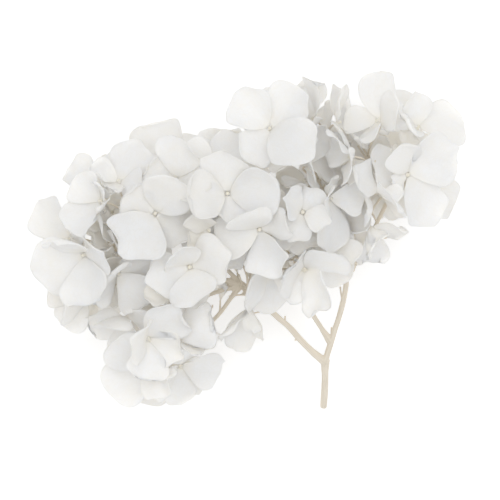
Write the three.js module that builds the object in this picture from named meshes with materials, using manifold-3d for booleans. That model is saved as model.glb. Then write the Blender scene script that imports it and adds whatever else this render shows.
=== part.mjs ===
// Dried hydrangea: one preserved and bleached mophead flower on its cut stem, lying on a flat surface.
// Frame: +X along the head, +Y from the cut end towards the crown, +Z up. The surface is z = 0. Sizes in mm.
import * as THREE from 'three';
import Module from 'manifold-3d';

// Overall size of the head, which spreads or gathers the places of the florets.
const HEAD_LENGTH = 196;
const HEAD_WIDTH = 152;
const HEAD_DEPTH = 80;

// Florets: four sepals round a small bud, on a thin stalk.
const SEPAL_LENGTH = 19;
const SEPAL_WIDTH = 21;
const SEPAL_THICKNESS = 0.9;
const HUB_RADIUS = 1.4;
const HUB_SHOULDER = 0.8;
const HUB_THICKNESS = 1.2;
const BUD_HEIGHT = 1.3;
const BUD_SHOULDER = 0.75;
const BUD_WIDEST = 0.6;
const PEDICEL_DIAMETER = 1.2;
const PEDICEL_STRAIGHT = 0.3;
const PEDICEL_GRIP = 0.25;

// Stems.
const STEM_DIAMETER = 3.0;
const BRANCH_DIAMETER = 2.7;
const FORK_DIAMETER = 2.2;
const RAY_DIAMETER = 1.9;
const RAY_END_DIAMETER = 1.7;
const STEM_SIDES = 8;
const STEM_STEP = 8;
const END_SWELLING = 0.25;

// Clearances: between touching pieces, between sheets, between stalks, and between pedicels along a stem.
const TOUCH_GAP = 0.3;
const SHEET_SPACING = 3.6;
const STALK_SPACING = 2.4;
const STEM_MARGIN = 0.9;
const PEDICEL_PITCH = 3.2;

// Growth: the buds open from this share of their size in these steps, and then settle.
const BUD_SHARE = 0.3;
const OPENING_STEPS = 150;
const SETTLING_STEPS = 60;
const OPENING_PULL = 0.04;
const SETTLING_PULL = 0.015;
const PRESSED_DEPTH = 0.7;
const SMALLEST_GROWN = 0.5;
const FITTING_ROUNDS = 40;
const FITTING_SHRINK = 0.95;
const CROSSING_VOLUME = 1e-6;
const STALK_BOW = 0.5;
const STEP_ASIDE = 0.15;
const STEM_FEELER_STEP = 2;
const STALK_FEELER_STEP = 2.5;
const SHORTEST_ARM = 3;
const SHIFT_EASE = 0.9;
const SPIN_EASE = 1.2;
const PRESSED_SHRINK = 0.985;
const PAIR_REACH = 5.2;

const DEG = Math.PI / 180;
const LIFT_STEP = 2 * DEG;
const LIFT_RANGE = [-45 * DEG, 80 * DEG];
const wasm = await Module();
wasm.setup();

// The list's places are for a head of this size.
const LISTED = new THREE.Vector3(196, 152, 80);
const SPREAD = new THREE.Vector3(HEAD_LENGTH, HEAD_WIDTH, HEAD_DEPTH).divide(LISTED);
const place = ([x, y, z]) => new THREE.Vector3(x, y, z).multiply(SPREAD);

// ---------------------------------------------------------------- where things grow

// Each stem: its route, its diameter at both ends, and the stem that it springs from.
const STEMS = {
  main_stem: {
    route: [[37, -76.5, 1.6], [37.5, -66, 8], [37.5, -55, 15]],
    ends: [STEM_DIAMETER, STEM_DIAMETER],
  },
  right_branch: {
    route: [[37.5, -55, 15], [40, -46, 19.5], [44.5, -31, 26], [46.5, -21, 30], [47, -13, 33]],
    ends: [BRANCH_DIAMETER, FORK_DIAMETER],
    from: ['main_stem'],
  },
  left_branch: {
    route: [[37.5, -55, 15], [29, -48, 18], [20, -38, 23], [14, -33, 27], [5, -24, 32], [-1, -19, 35]],
    ends: [STEM_DIAMETER, FORK_DIAMETER],
    from: ['main_stem', 'right_branch'],
  },
  middle_branch: {
    route: [[40, -46, 19.5], [36, -40, 22], [31, -32, 27], [28, -25, 32], [24, -10, 38], [21, 0, 42]],
    ends: [FORK_DIAMETER, RAY_DIAMETER],
    from: ['right_branch'],
  },
  ray_upper_left: {
    route: [[-1, -19, 35], [-13, -6, 39], [-18, 8, 42], [-21, 20, 44]],
    ends: [RAY_DIAMETER, RAY_END_DIAMETER],
    from: ['left_branch'],
  },
  ray_left: {
    route: [[-1, -19, 35], [-20, -14, 36], [-38, -5, 38], [-52, 4, 40]],
    ends: [RAY_DIAMETER, RAY_END_DIAMETER],
    from: ['left_branch', 'ray_upper_left'],
  },
  ray_lower_left: {
    route: [[-1, -19, 35], [-22, -26, 33], [-42, -30, 34], [-58, -26, 35]],
    ends: [RAY_DIAMETER, RAY_END_DIAMETER],
    from: ['left_branch', 'ray_upper_left', 'ray_left'],
  },
  ray_bottom: {
    route: [[-1, -19, 35], [-14, -36, 31], [-28, -46, 31], [-40, -50, 32]],
    ends: [RAY_DIAMETER, RAY_END_DIAMETER],
    from: ['left_branch', 'ray_upper_left', 'ray_left', 'ray_lower_left'],
  },
  ray_crown: {
    route: [[47, -13, 33], [44, 2, 38], [36, 22, 42], [28, 40, 44]],
    ends: [RAY_DIAMETER, RAY_END_DIAMETER],
    from: ['right_branch'],
  },
  ray_upper_right: {
    route: [[47, -13, 33], [50, 4, 37], [53, 22, 40], [56, 38, 42]],
    ends: [RAY_DIAMETER, RAY_END_DIAMETER],
    from: ['right_branch', 'ray_crown'],
  },
  ray_right: {
    route: [[47, -13, 33], [56, 0, 35], [64, 16, 37], [71, 32, 39]],
    ends: [RAY_DIAMETER, RAY_END_DIAMETER],
    from: ['right_branch', 'ray_crown', 'ray_upper_right'],
  },
};

// Each floret: where its hub is, the compass direction and the angle from straight up that it faces,
// the turn of its first sepal, the lift of its sepals, its size, and each sepal's own size if they differ.
const FLORETS = {
  ray_crown: [
    { at: [11, 50, 70], faces: [120, 10], turn: 48, lift: 10, size: 1.05, sepals: [1.05, 1, 0.9, 1.4] },
    { at: [16, 54, 52], faces: [95, 42], turn: 88, lift: 12, size: 0.86 },
    { at: [32, 55, 50], faces: [150, 62], turn: 95, lift: 25, size: 1 },
    { at: [43, 51, 54], faces: [20, 70], turn: 90, lift: 30, size: 1 },
    { at: [31, 33, 63], faces: [8, 66], turn: 92, lift: 24, size: 1.12 },
    { at: [24, 56, 22], faces: [100, 115], turn: 40, lift: 15, size: 1.1 },
  ],
  ray_upper_right: [
    {
      at: [59, 53.5, 58], faces: [165, 42], turn: 88, lift: 14, size: 1, width: 0.85,
      sepals: [1.1, 0.8, 0.8, 1],
    },
    { at: [46, 33, 66], faces: [190, 68], turn: 88, lift: 20, size: 1.1 },
    { at: [63, 25, 64], faces: [30, 50], turn: 95, lift: 25, size: 1.1 },
    { at: [54, 19, 48], faces: [195, 55], turn: 85, lift: 16, size: 1.1 },
    { at: [48, 30, 14], faces: [110, 150], turn: 20, lift: 15, size: 1.1 },
  ],
  ray_right: [
    { at: [76, 51, 48], faces: [60, 22], turn: 16, lift: 8, size: 1.05, sepals: [1.1, 0.75, 0.8, 0.75] },
    { at: [69, 29, 60], faces: [350, 20], turn: 35, lift: 12, size: 1.08, sepals: [1.12, 0.8, 0.9, 1.15] },
    { at: [65, 55, 40], faces: [75, 45], turn: 40, lift: 15, size: 1 },
    {
      at: [54, 8, 46], faces: [262, 50], turn: 265, lift: 14, size: 1, width: 0.8,
      sepals: [1, 0.8, 0.7, 0.8],
    },
    { at: [78, 30, 16], faces: [20, 130], turn: 30, lift: 15, size: 1.1 },
  ],
  middle_branch: [
    { at: [25, 14, 66], faces: [20, 14], turn: 70, lift: 32, size: 1.05 },
    { at: [9, 6, 70], faces: [250, 12], turn: 20, lift: 12, size: 1.1 },
    { at: [38, 22, 60], faces: [350, 52], turn: 80, lift: 20, size: 1.12 },
    { at: [26, -9, 54], faces: [300, 50], turn: 45, lift: 20, size: 1.1 },
    { at: [12, -13, 48], faces: [315, 64], turn: 88, lift: 18, size: 1.15 },
    { at: [33, -4, 38], faces: [310, 42], turn: 40, lift: 12, size: 1 },
    { at: [24, 4, 14], faces: [300, 150], turn: 60, lift: 15, size: 1.1 },
  ],
  left_branch: [
    { at: [3, -29, 40], faces: [285, 60], turn: 65, lift: 40, size: 1.05, width: 0.72 },
    { at: [-10, 2, 58], faces: [275, 30], turn: 30, lift: 12, size: 0.8 },
  ],
  ray_upper_left: [
    { at: [-7, 22, 72], faces: [90, 6], turn: 355, lift: 8, size: 1.15, sepals: [1.25, 1, 1.05, 0.6] },
    { at: [-12, 29, 60], faces: [95, 30], turn: 45, lift: 10, size: 1.1 },
    { at: [-32, 31, 48], faces: [108, 36], turn: 25, lift: 8, size: 1.18 },
    { at: [-32, 27, 62], faces: [125, 28], turn: 65, lift: 12, size: 1.15 },
    { at: [-12, 34, 18], faces: [100, 125], turn: 15, lift: 15, size: 1.1 },
  ],
  ray_left: [
    { at: [-40, 14, 69], faces: [200, 12], turn: 325, lift: 12, size: 1.15 },
    { at: [-25, -11, 68], faces: [200, 14], turn: 20, lift: 22, size: 0.94 },
    { at: [-55, 26, 58], faces: [105, 32], turn: 70, lift: 20, size: 1 },
    { at: [-62, 16, 62], faces: [170, 30], turn: 35, lift: 15, size: 1.1 },
    { at: [-64, 26, 45], faces: [135, 44], turn: 60, lift: 12, size: 0.86 },
    { at: [-78, 2, 42], faces: [185, 50], turn: 45, lift: 18, size: 0.98 },
    { at: [-56, 0, 54], faces: [50, 70], turn: 90, lift: 12, size: 1.1 },
    { at: [-58, 20, 14], faces: [130, 145], turn: 10, lift: 15, size: 1.1 },
  ],
  ray_lower_left: [
    { at: [-69, -5, 62], faces: [205, 26], turn: 290, lift: 10, size: 1.18, sepals: [1.25, 0.9, 0.9, 1] },
    { at: [-68, -27, 50], faces: [220, 42], turn: 50, lift: 28, size: 0.88 },
    { at: [-53, -34, 48], faces: [250, 50], turn: 20, lift: 15, size: 1.05 },
    { at: [-58, -12, 58], faces: [300, 40], turn: 35, lift: 20, size: 1.05 },
    { at: [-68, -16, 14], faces: [215, 145], turn: 35, lift: 15, size: 1.1 },
  ],
  ray_bottom: [
    { at: [-43, -54, 50], faces: [255, 28], turn: 230, lift: 10, size: 1.02, sepals: [1.15, 0.9, 0.9, 1] },
    { at: [-42, -42, 62], faces: [320, 46], turn: 60, lift: 26, size: 1.1 },
    { at: [-33, -42, 56], faces: [10, 64], turn: 92, lift: 22, size: 1.1 },
    { at: [-29, -56, 38], faces: [300, 52], turn: 80, lift: 18, size: 0.95 },
    { at: [-40, -52, 13], faces: [260, 155], turn: 25, lift: 15, size: 1.1 },
  ],
};

// ---------------------------------------------------------------- small helpers

// A repeatable number from 0 to 1 for the n-th chance of floret i.
function chance(i, n) {
  const s = Math.sin(i * 127.1 + n * 311.7) * 43758.5453;
  return s - Math.floor(s);
}

const between = (low, high, share) => low + (high - low) * share;

// Joins two rings of vertices, both clockwise as seen from the second one's side. The diagonals alternate,
// so the two faces of a thin sheet are split alike and can't cross.
function bridge(faces, a, b) {
  a.forEach((a0, j) => {
    const k = (j + 1) % a.length;
    if (j % 2) faces.push(a0, b[j], a[k], a[k], b[j], b[k]);
    else faces.push(a0, b[k], a[k], a0, b[j], b[k]);
  });
}

// Closes a ring that is clockwise as seen from outside with one point.
function closeWith(faces, ring, point) {
  ring.forEach((r, j) => faces.push(r, point, ring[(j + 1) % ring.length]));
}

function meshGeometry(points, faces) {
  const geometry = new THREE.BufferGeometry().setFromPoints(points);
  geometry.setIndex(faces);
  geometry.computeVertexNormals();
  return geometry;
}

// ---------------------------------------------------------------- stems

// A round stem along its route, tapering from one diameter to the other, with a slight swelling at its end.
function stemGeometry(stem, extra) {
  const curve = new THREE.CatmullRomCurve3(stem.route.map(place), false, 'centripetal');
  const steps = Math.max(4, Math.round(curve.getLength() / STEM_STEP));
  const frames = curve.computeFrenetFrames(steps);
  const points = [];
  const faces = [];
  const rings = [];
  for (let i = 0; i <= steps; i += 1) {
    const share = i / steps;
    const swelling = 1 + END_SWELLING * Math.max(0, share * 6 - 5);
    const radius = (between(stem.ends[0], stem.ends[1], share) * swelling) / 2 + extra;
    const shift = i === 0 ? -extra : i === steps ? extra : 0;
    const centre = curve.getPointAt(share).addScaledVector(frames.tangents[i], shift);
    const ring = [];
    for (let j = 0; j < STEM_SIDES; j += 1) {
      const angle = (-j / STEM_SIDES) * 2 * Math.PI;
      ring.push(points.length);
      points.push(centre.clone()
        .addScaledVector(frames.normals[i], radius * Math.cos(angle))
        .addScaledVector(frames.binormals[i], radius * Math.sin(angle)));
    }
    rings.push(ring);
  }
  for (let i = 0; i < steps; i += 1) bridge(faces, rings[i], rings[i + 1]);
  const start = points.push(curve.getPointAt(0).addScaledVector(frames.tangents[0], -extra)) - 1;
  const end = points.push(curve.getPointAt(1).addScaledVector(frames.tangents[steps], extra)) - 1;
  closeWith(faces, [...rings[0]].reverse(), start);
  closeWith(faces, rings[steps], end);
  return meshGeometry(points, faces);
}

function toSolid(geometry) {
  const { position } = geometry.attributes;
  return new wasm.Manifold(new wasm.Mesh({
    numProp: 3,
    vertProperties: new Float32Array(position.array),
    triVerts: new Uint32Array(geometry.index.array),
  }));
}

function fromSolid(solid) {
  const mesh = solid.getMesh();
  const geometry = new THREE.BufferGeometry();
  geometry.setAttribute('position', new THREE.BufferAttribute(new Float32Array(mesh.vertProperties), 3));
  geometry.setIndex([...mesh.triVerts]);
  geometry.computeVertexNormals();
  return geometry;
}

// A stem is cut back where it springs from others, so that it meets them with a gap.
function fittedStem(stem) {
  let solid = toSolid(stemGeometry(stem, 0));
  for (const parent of stem.from || []) {
    solid = solid.subtract(toSolid(stemGeometry(STEMS[parent], TOUCH_GAP)));
  }
  return fromSolid(solid);
}

// ---------------------------------------------------------------- florets

// The sepal's outline: its half width as a share, from a narrow claw to a broad round end.
const halfWidthAt = (u) => Math.sin(Math.PI * Math.min(1, u * u * 0.97 + 0.03)) ** 0.62;
const SHEET_ROWS = [0.2, 0.48, 0.76, 0.94];
const CURL_START = 0.4;
const CUP_POWER = 1.4;
const WAVE_TURNS = 5;

// How far chance may shift a sepal's form: sizes as shares, angles in degrees.
const CHANCE = {
  size: [0.88, 1.12], width: [0.92, 1.08], lift: [-7, 7], angle: [-4, 4], curl: [-35, 35], twist: [-22, 22],
  cup: [0, 24], wave: [-0.22, 0.22], phase: [0, 6],
};
const OUTER_PAIR_LIFT = -3;
const INNER_PAIR_LIFT = 9;
const OWN_WIDTH = 0.7;
const PEDICEL_STEPS = 5;

// A point of a sepal in its floret's frame, u from claw to tip and v from one edge to the other.
function sepalPoint(sepal, u, v, target, above = 0) {
  const bend = sepal.curl;
  const from = sepal.lift - bend * CURL_START;
  const now = from + bend * u;
  const along = Math.abs(bend) > 1e-3 ? (Math.sin(now) - Math.sin(from)) / bend : Math.cos(from) * u;
  const rise = Math.abs(bend) > 1e-3 ? (Math.cos(from) - Math.cos(now)) / bend : Math.sin(from) * u;
  const half = (sepal.width / 2) * halfWidthAt(u) * sepal.grown;
  const cup = v > 0 ? sepal.cupLeft : sepal.cupRight;
  const wave = sepal.wave * Math.sin(WAVE_TURNS * u + sepal.phase) * v * Math.abs(v);
  const across = half * v * Math.cos(cup);
  const proud = half * (Math.abs(v) ** CUP_POWER * Math.sin(cup) + wave) + above;
  const twist = sepal.twist * u;
  const side = across * Math.cos(twist) - proud * Math.sin(twist);
  const normal = across * Math.sin(twist) + proud * Math.cos(twist);
  const length = sepal.length * sepal.grown;
  const r = HUB_RADIUS + length * along - normal * Math.sin(now);
  const h = length * rise + normal * Math.cos(now);
  const c = Math.cos(sepal.angle);
  const s = Math.sin(sepal.angle);
  return target.set(r * c - side * s, r * s + side * c, h);
}

function makeFloret(row, index, anchor, outward) {
  const [compass, tilt] = row.faces.map((a) => a * DEG);
  const facing = new THREE.Vector3(
    Math.sin(tilt) * Math.cos(compass), Math.sin(tilt) * Math.sin(compass), Math.cos(tilt));
  const across = new THREE.Vector3(1, 0, 0).addScaledVector(facing, -facing.x);
  if (across.lengthSq() < 0.05) across.set(0, 1, 0).addScaledVector(facing, -facing.y);
  across.normalize();
  const up = new THREE.Vector3().crossVectors(facing, across);
  const basis = new THREE.Matrix4().makeBasis(across, up, facing);
  const home = new THREE.Quaternion().setFromRotationMatrix(basis);
  const sepals = [0, 1, 2, 3].map((k) => {
    const pick = (n, kind) => between(...CHANCE[kind], chance(index * 4 + k, n));
    const size = row.size * (row.sepals ? row.sepals[k] : pick(1, 'size'));
    const lift = (row.lift + (k % 2 ? INNER_PAIR_LIFT : OUTER_PAIR_LIFT) + pick(2, 'lift')) * DEG;
    return {
      angle: (row.turn + 90 * k + pick(3, 'angle')) * DEG,
      lift,
      liftHome: lift,
      curl: pick(4, 'curl') * DEG,
      twist: pick(5, 'twist') * DEG,
      cupLeft: pick(6, 'cup') * DEG,
      cupRight: pick(7, 'cup') * DEG,
      wave: pick(8, 'wave'),
      phase: pick(9, 'phase'),
      length: SEPAL_LENGTH * size,
      width: SEPAL_WIDTH * (row.width || 1) * between(row.size, size, OWN_WIDTH) * pick(10, 'width'),
      grown: BUD_SHARE,
    };
  });
  return {
    home,
    turned: home.clone(),
    hubHome: place(row.at),
    hub: place(row.at),
    anchor,
    outward,
    bow: new THREE.Vector3(),
    sepals,
  };
}

// The pedicel's centre line from the stem to the hub, which it meets from behind.
function pedicelCurve(floret) {
  const back = new THREE.Vector3(0, 0, -1).applyQuaternion(floret.turned);
  const start = floret.anchor.clone().addScaledVector(
    floret.outward, TOUCH_GAP + PEDICEL_DIAMETER * PEDICEL_GRIP);
  const reach = start.distanceTo(floret.hub);
  const end = floret.hub.clone().addScaledVector(back, HUB_THICKNESS);
  const nearStem = start.clone().addScaledVector(floret.outward, reach * PEDICEL_STRAIGHT).add(floret.bow);
  const nearHub = end.clone().addScaledVector(back, reach * PEDICEL_STRAIGHT).add(floret.bow);
  return new THREE.CubicBezierCurve3(start, nearStem, nearHub, end);
}

// The hub's rings of four points: between the sepals, towards the bud, towards the pedicel and round the bud.
function hubRings(floret) {
  const round = (angle, radius, height) => new THREE.Vector3(
    radius * Math.cos(angle), radius * Math.sin(angle), height);
  const angles = floret.sepals.map((sepal) => sepal.angle);
  const nextAngles = [...angles.slice(1), angles[0] + 2 * Math.PI];
  const half = HUB_THICKNESS / 2;
  return {
    corners: angles.map((angle, k) => round((angle + nextAngles[k]) / 2, HUB_RADIUS, 0)),
    tops: angles.map((angle) => round(angle, HUB_RADIUS * HUB_SHOULDER, half)),
    bottoms: angles.map((angle) => round(angle, HUB_RADIUS * HUB_SHOULDER, -half)),
    bud: angles.map((angle) => round(angle, HUB_RADIUS * BUD_SHOULDER, half + BUD_HEIGHT * BUD_WIDEST)),
    budTip: round(0, 0, half + BUD_HEIGHT),
  };
}

const addAll = (points, ring) => ring.map((point) => points.push(point) - 1);
const sepalBase = ({ corners, tops, bottoms }, k) => [corners[(k + 3) % 4], tops[k], corners[k], bottoms[k]];

// Grows a sepal's sheet from its base ring: thickest along the middle and thin at both edges.
function addSheet(points, faces, sepal, base) {
  const half = SEPAL_THICKNESS / 2;
  const at = (u, v, above) => sepalPoint(sepal, u, v, new THREE.Vector3(), above);
  let ring = base;
  for (const u of SHEET_ROWS) {
    const next = addAll(points, [at(u, -1, 0), at(u, 0, half), at(u, 1, 0), at(u, 0, -half)]);
    bridge(faces, ring, next);
    ring = next;
  }
  closeWith(faces, ring, points.push(at(1, 0, 0)) - 1);
}

// Grows the pedicel's tube from the hub's lower ring down to its flat end by the stem.
function addPedicel(points, faces, floret, base) {
  const curve = pedicelCurve(floret);
  const intoFrame = floret.turned.clone().invert();
  const spokes = floret.sepals.map(({ angle }) => new THREE.Vector3(Math.cos(angle), Math.sin(angle), 0));
  let ring = base;
  for (let i = 0; i <= PEDICEL_STEPS; i += 1) {
    const share = 1 - i / PEDICEL_STEPS;
    const centre = curve.getPoint(share).sub(floret.hub).applyQuaternion(intoFrame);
    const along = curve.getTangent(share).applyQuaternion(intoFrame);
    const next = addAll(points, spokes.map((spoke) => {
      spoke.addScaledVector(along, -spoke.dot(along)).normalize();
      return centre.clone().addScaledVector(spoke, PEDICEL_DIAMETER / 2);
    }));
    bridge(faces, ring, next);
    ring = next;
  }
  faces.push(ring[0], ring[3], ring[2], ring[0], ring[2], ring[1]);
}

function floretGeometry(floret) {
  const points = [];
  const faces = [];
  const hub = hubRings(floret);
  const corners = addAll(points, hub.corners);
  const tops = addAll(points, hub.tops);
  const bottoms = addAll(points, hub.bottoms);
  const bud = addAll(points, hub.bud).reverse();
  corners.forEach((corner, k) => {
    const next = (k + 1) % 4;
    faces.push(tops[k], corner, tops[next], bottoms[k], bottoms[next], corner);
    addSheet(points, faces, floret.sepals[k], sepalBase({ corners, tops, bottoms }, k));
  });
  bridge(faces, [...tops].reverse(), bud);
  closeWith(faces, bud, points.push(hub.budTip) - 1);
  addPedicel(points, faces, floret, bottoms);
  return meshGeometry(points, faces);
}

// One sepal or the pedicel of a floret as a solid of its own, to find where they would cross.
function pieceSolid(ringPoints, grow) {
  const points = [];
  const faces = [];
  const ring = addAll(points, ringPoints);
  faces.push(ring[0], ring[1], ring[2], ring[0], ring[2], ring[3]);
  grow(points, faces, ring);
  return toSolid(meshGeometry(points, faces));
}

// ---------------------------------------------------------------- growing the head

// Every place on a sepal that feels its neighbours.
const FEELERS = [
  [0.22, 0],
  ...[0.42, 0.64, 0.85].flatMap((u) => [-1, -0.5, 0, 0.5, 1].map((v) => [u, v])),
  [1, 0],
];

// Lists what can touch: points of the sepals and stalks that move, and of the stems that don't.
function feelersOf(florets, fixed) {
  const feelers = [...fixed];
  florets.forEach((floret, f) => {
    floret.sepals.forEach((sepal, k) => {
      for (const [u, v] of FEELERS) {
        const at = sepalPoint(sepal, u, v, new THREE.Vector3());
        at.applyQuaternion(floret.turned).add(floret.hub);
        feelers.push({ at, reach: SHEET_SPACING / 2, f, k, share: 1 });
      }
    });
    const curve = pedicelCurve(floret);
    const steps = Math.ceil(floret.anchor.distanceTo(floret.hub) / STALK_FEELER_STEP);
    for (let i = 0; i <= steps; i += 1) {
      feelers.push({ at: curve.getPoint(i / steps), reach: STALK_SPACING / 2, f, k: -1, share: i / steps });
    }
  });
  return feelers;
}

function stemFeelers() {
  const feelers = [];
  for (const stem of Object.values(STEMS)) {
    const curve = new THREE.CatmullRomCurve3(stem.route.map(place), false, 'centripetal');
    const steps = Math.ceil(curve.getLength() / STEM_FEELER_STEP);
    for (const at of curve.getSpacedPoints(steps)) {
      feelers.push({ at, reach: stem.ends[0] / 2 + STEM_MARGIN, f: -1, k: -1, share: 0 });
    }
  }
  return feelers;
}

// Calls meet(a, b) for each two feelers of different florets that are closer than their reaches.
function eachContact(feelers, meet) {
  const cell = SHEET_SPACING;
  const boxes = new Map();
  const key = (x, y, z) => (x * 4096 + y) * 4096 + z;
  for (const feeler of feelers) {
    const [x, y, z] = feeler.at.toArray().map((c) => Math.floor(c / cell) + 2048);
    for (let i = -1; i <= 1; i += 1) {
      for (let j = -1; j <= 1; j += 1) {
        for (let k = -1; k <= 1; k += 1) {
          for (const other of boxes.get(key(x + i, y + j, z + k)) || []) {
            if (other.f === feeler.f) continue;
            const gap = other.at.distanceTo(feeler.at);
            const wanted = other.reach + feeler.reach;
            if (gap < wanted && gap > 1e-6) meet(feeler, other, wanted - gap);
          }
        }
      }
    }
    const here = key(x, y, z);
    if (!boxes.has(here)) boxes.set(here, []);
    boxes.get(here).push(feeler);
  }
}

// One breath of growth: neighbours push each other apart, and each floret leans back to its own place.
function settle(florets, fixed, pull) {
  const pushes = florets.map(() => ({
    shift: new THREE.Vector3(), spin: new THREE.Vector3(), bow: new THREE.Vector3(), count: 0, bows: 0,
    lifts: [0, 0, 0, 0], touches: [0, 0, 0, 0], worst: [0, 0, 0, 0],
  }));
  const arm = new THREE.Vector3();
  const turn = new THREE.Vector3();
  const feel = (feeler, direction, depth) => {
    if (feeler.f < 0) return;
    const floret = florets[feeler.f];
    const push = pushes[feeler.f];
    if (feeler.k < 0) {
      push.bow.addScaledVector(direction, depth * Math.sin(Math.PI * feeler.share));
      push.shift.addScaledVector(direction, depth * feeler.share);
      push.bows += 1;
      push.count += 1;
      return;
    }
    const sepal = floret.sepals[feeler.k];
    arm.copy(feeler.at).sub(floret.hub);
    const reach = Math.max(SHORTEST_ARM ** 2, arm.lengthSq());
    push.shift.addScaledVector(direction, depth);
    push.spin.addScaledVector(turn.crossVectors(arm, direction), depth / reach);
    push.count += 1;
    turn.set(Math.sin(sepal.angle), -Math.cos(sepal.angle), 0).applyQuaternion(floret.turned);
    push.lifts[feeler.k] += (turn.cross(arm).dot(direction) * depth) / reach;
    push.touches[feeler.k] += 1;
    push.worst[feeler.k] = Math.max(push.worst[feeler.k], depth);
  };

  const feelers = feelersOf(florets, fixed);
  const direction = new THREE.Vector3();
  eachContact(feelers, (a, b, depth) => {
    direction.subVectors(a.at, b.at).normalize();
    const shared = a.f < 0 || b.f < 0 ? depth : depth / 2;
    feel(a, direction, shared);
    feel(b, direction.negate(), shared);
  });
  const rise = new THREE.Vector3(0, 0, 1);
  for (const feeler of feelers) {
    const sunk = SEPAL_THICKNESS - feeler.at.z;
    if (sunk > 0) feel(feeler, rise, sunk);
  }

  florets.forEach((floret, f) => {
    const push = pushes[f];
    if (push.count) {
      floret.hub.addScaledVector(push.shift, SHIFT_EASE / (push.count + 2));
      const spin = push.spin.length() / (push.count + 2);
      if (spin > 1e-9) {
        const by = new THREE.Quaternion().setFromAxisAngle(push.spin.clone().normalize(), spin * SPIN_EASE);
        floret.turned.premultiply(by).normalize();
      }
    }
    if (push.bows) floret.bow.addScaledVector(push.bow, SHIFT_EASE / push.bows);
    floret.bow.multiplyScalar(1 - pull);
    floret.hub.lerp(floret.hubHome, pull);
    floret.turned.slerp(floret.home, pull);
    floret.sepals.forEach((sepal, k) => {
      if (push.touches[k]) sepal.lift += (push.lifts[k] / push.touches[k]) * SPIN_EASE;
      sepal.lift = between(sepal.lift, sepal.liftHome, pull);
      sepal.lift = THREE.MathUtils.clamp(sepal.lift, ...LIFT_RANGE);
      sepal.worst = push.worst[k];
    });
  });
}

// The buds open slowly in the crowd, and a sepal that is still pressed at the end stays smaller.
function growHead(florets) {
  const fixed = stemFeelers();
  const sepals = florets.flatMap((floret) => floret.sepals);
  for (let i = 0; i < OPENING_STEPS; i += 1) {
    const share = between(BUD_SHARE, 1, i / (OPENING_STEPS - 1));
    for (const sepal of sepals) sepal.grown = share;
    settle(florets, fixed, OPENING_PULL);
  }
  for (let i = 0; i < SETTLING_STEPS; i += 1) settle(florets, fixed, SETTLING_PULL);
  for (let i = 0; i < SETTLING_STEPS; i += 1) {
    settle(florets, fixed, 0);
    for (const sepal of sepals) {
      if (sepal.worst > PRESSED_DEPTH) sepal.grown = Math.max(SMALLEST_GROWN, sepal.grown * PRESSED_SHRINK);
    }
  }
}

// The floret's solid where it stands.
function standing(floret) {
  const geometry = floretGeometry(floret);
  const matrix = new THREE.Matrix4().compose(floret.hub, floret.turned, new THREE.Vector3(1, 1, 1));
  return toSolid(geometry.applyMatrix4(matrix));
}

// The middle of what two solids share, or null where they are apart.
function sharedMiddle(a, b) {
  const { triVerts, vertProperties } = a.intersect(b).getMesh();
  if (!triVerts.length) return null;
  const middle = new THREE.Vector3();
  for (let i = 0; i < vertProperties.length; i += 3) {
    middle.add(new THREE.Vector3().fromArray(vertProperties, i));
  }
  return middle.multiplyScalar(3 / vertProperties.length);
}

// Gives way at a point that a floret shares with something else on the side of `from`: it moves off a
// little, and its nearest sepal stays smaller, or its pedicel bows aside where that is nearer.
function giveWay(floret, point, from) {
  const gaps = floret.sepals.map((sepal) => Math.min(...FEELERS.map(([u, v]) => {
    const at = sepalPoint(sepal, u, v, new THREE.Vector3());
    return at.applyQuaternion(floret.turned).add(floret.hub).distanceTo(point);
  })));
  const stalk = pedicelCurve(floret).getPoints(20).map((at) => at.distanceTo(point));
  floret.hub.addScaledVector(from.clone().normalize(), -STEP_ASIDE);
  if (Math.min(...stalk) < Math.min(...gaps)) {
    const aside = floret.hub.clone().sub(floret.anchor).cross(from).normalize();
    floret.bow.addScaledVector(aside, STALK_BOW);
  } else {
    floret.sepals[gaps.indexOf(Math.min(...gaps))].grown *= FITTING_SHRINK;
  }
}

// Sepals of one floret that would cross grow narrower and open wider until they pass each other,
// and one that would cross its own pedicel lifts off it.
function partSepals(floret) {
  for (let round = 0; round < FITTING_ROUNDS; round += 1) {
    const hub = hubRings(floret);
    const sheets = floret.sepals.map((sepal, k) => pieceSolid(
      sepalBase(hub, k), (points, faces, ring) => addSheet(points, faces, sepal, ring)));
    const stalk = pieceSolid(hub.bottoms, (points, faces, ring) => addPedicel(points, faces, floret, ring));
    const cross = (a, b) => a.intersect(b).volume() > CROSSING_VOLUME;
    const moved = new Set();
    sheets.forEach((sheet, k) => {
      const sepal = floret.sepals[k];
      sheets.slice(0, k).forEach((other, j) => {
        if (!cross(sheet, other)) return;
        for (const one of [sepal, floret.sepals[j]]) one.width *= FITTING_SHRINK;
        const higher = sepal.lift > floret.sepals[j].lift ? sepal : floret.sepals[j];
        higher.lift -= LIFT_STEP;
        moved.add(sepal);
      });
      if (!cross(sheet, stalk)) return;
      sepal.lift += LIFT_STEP * 2;
      moved.add(sepal);
    });
    if (!moved.size) return;
  }
}

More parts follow.
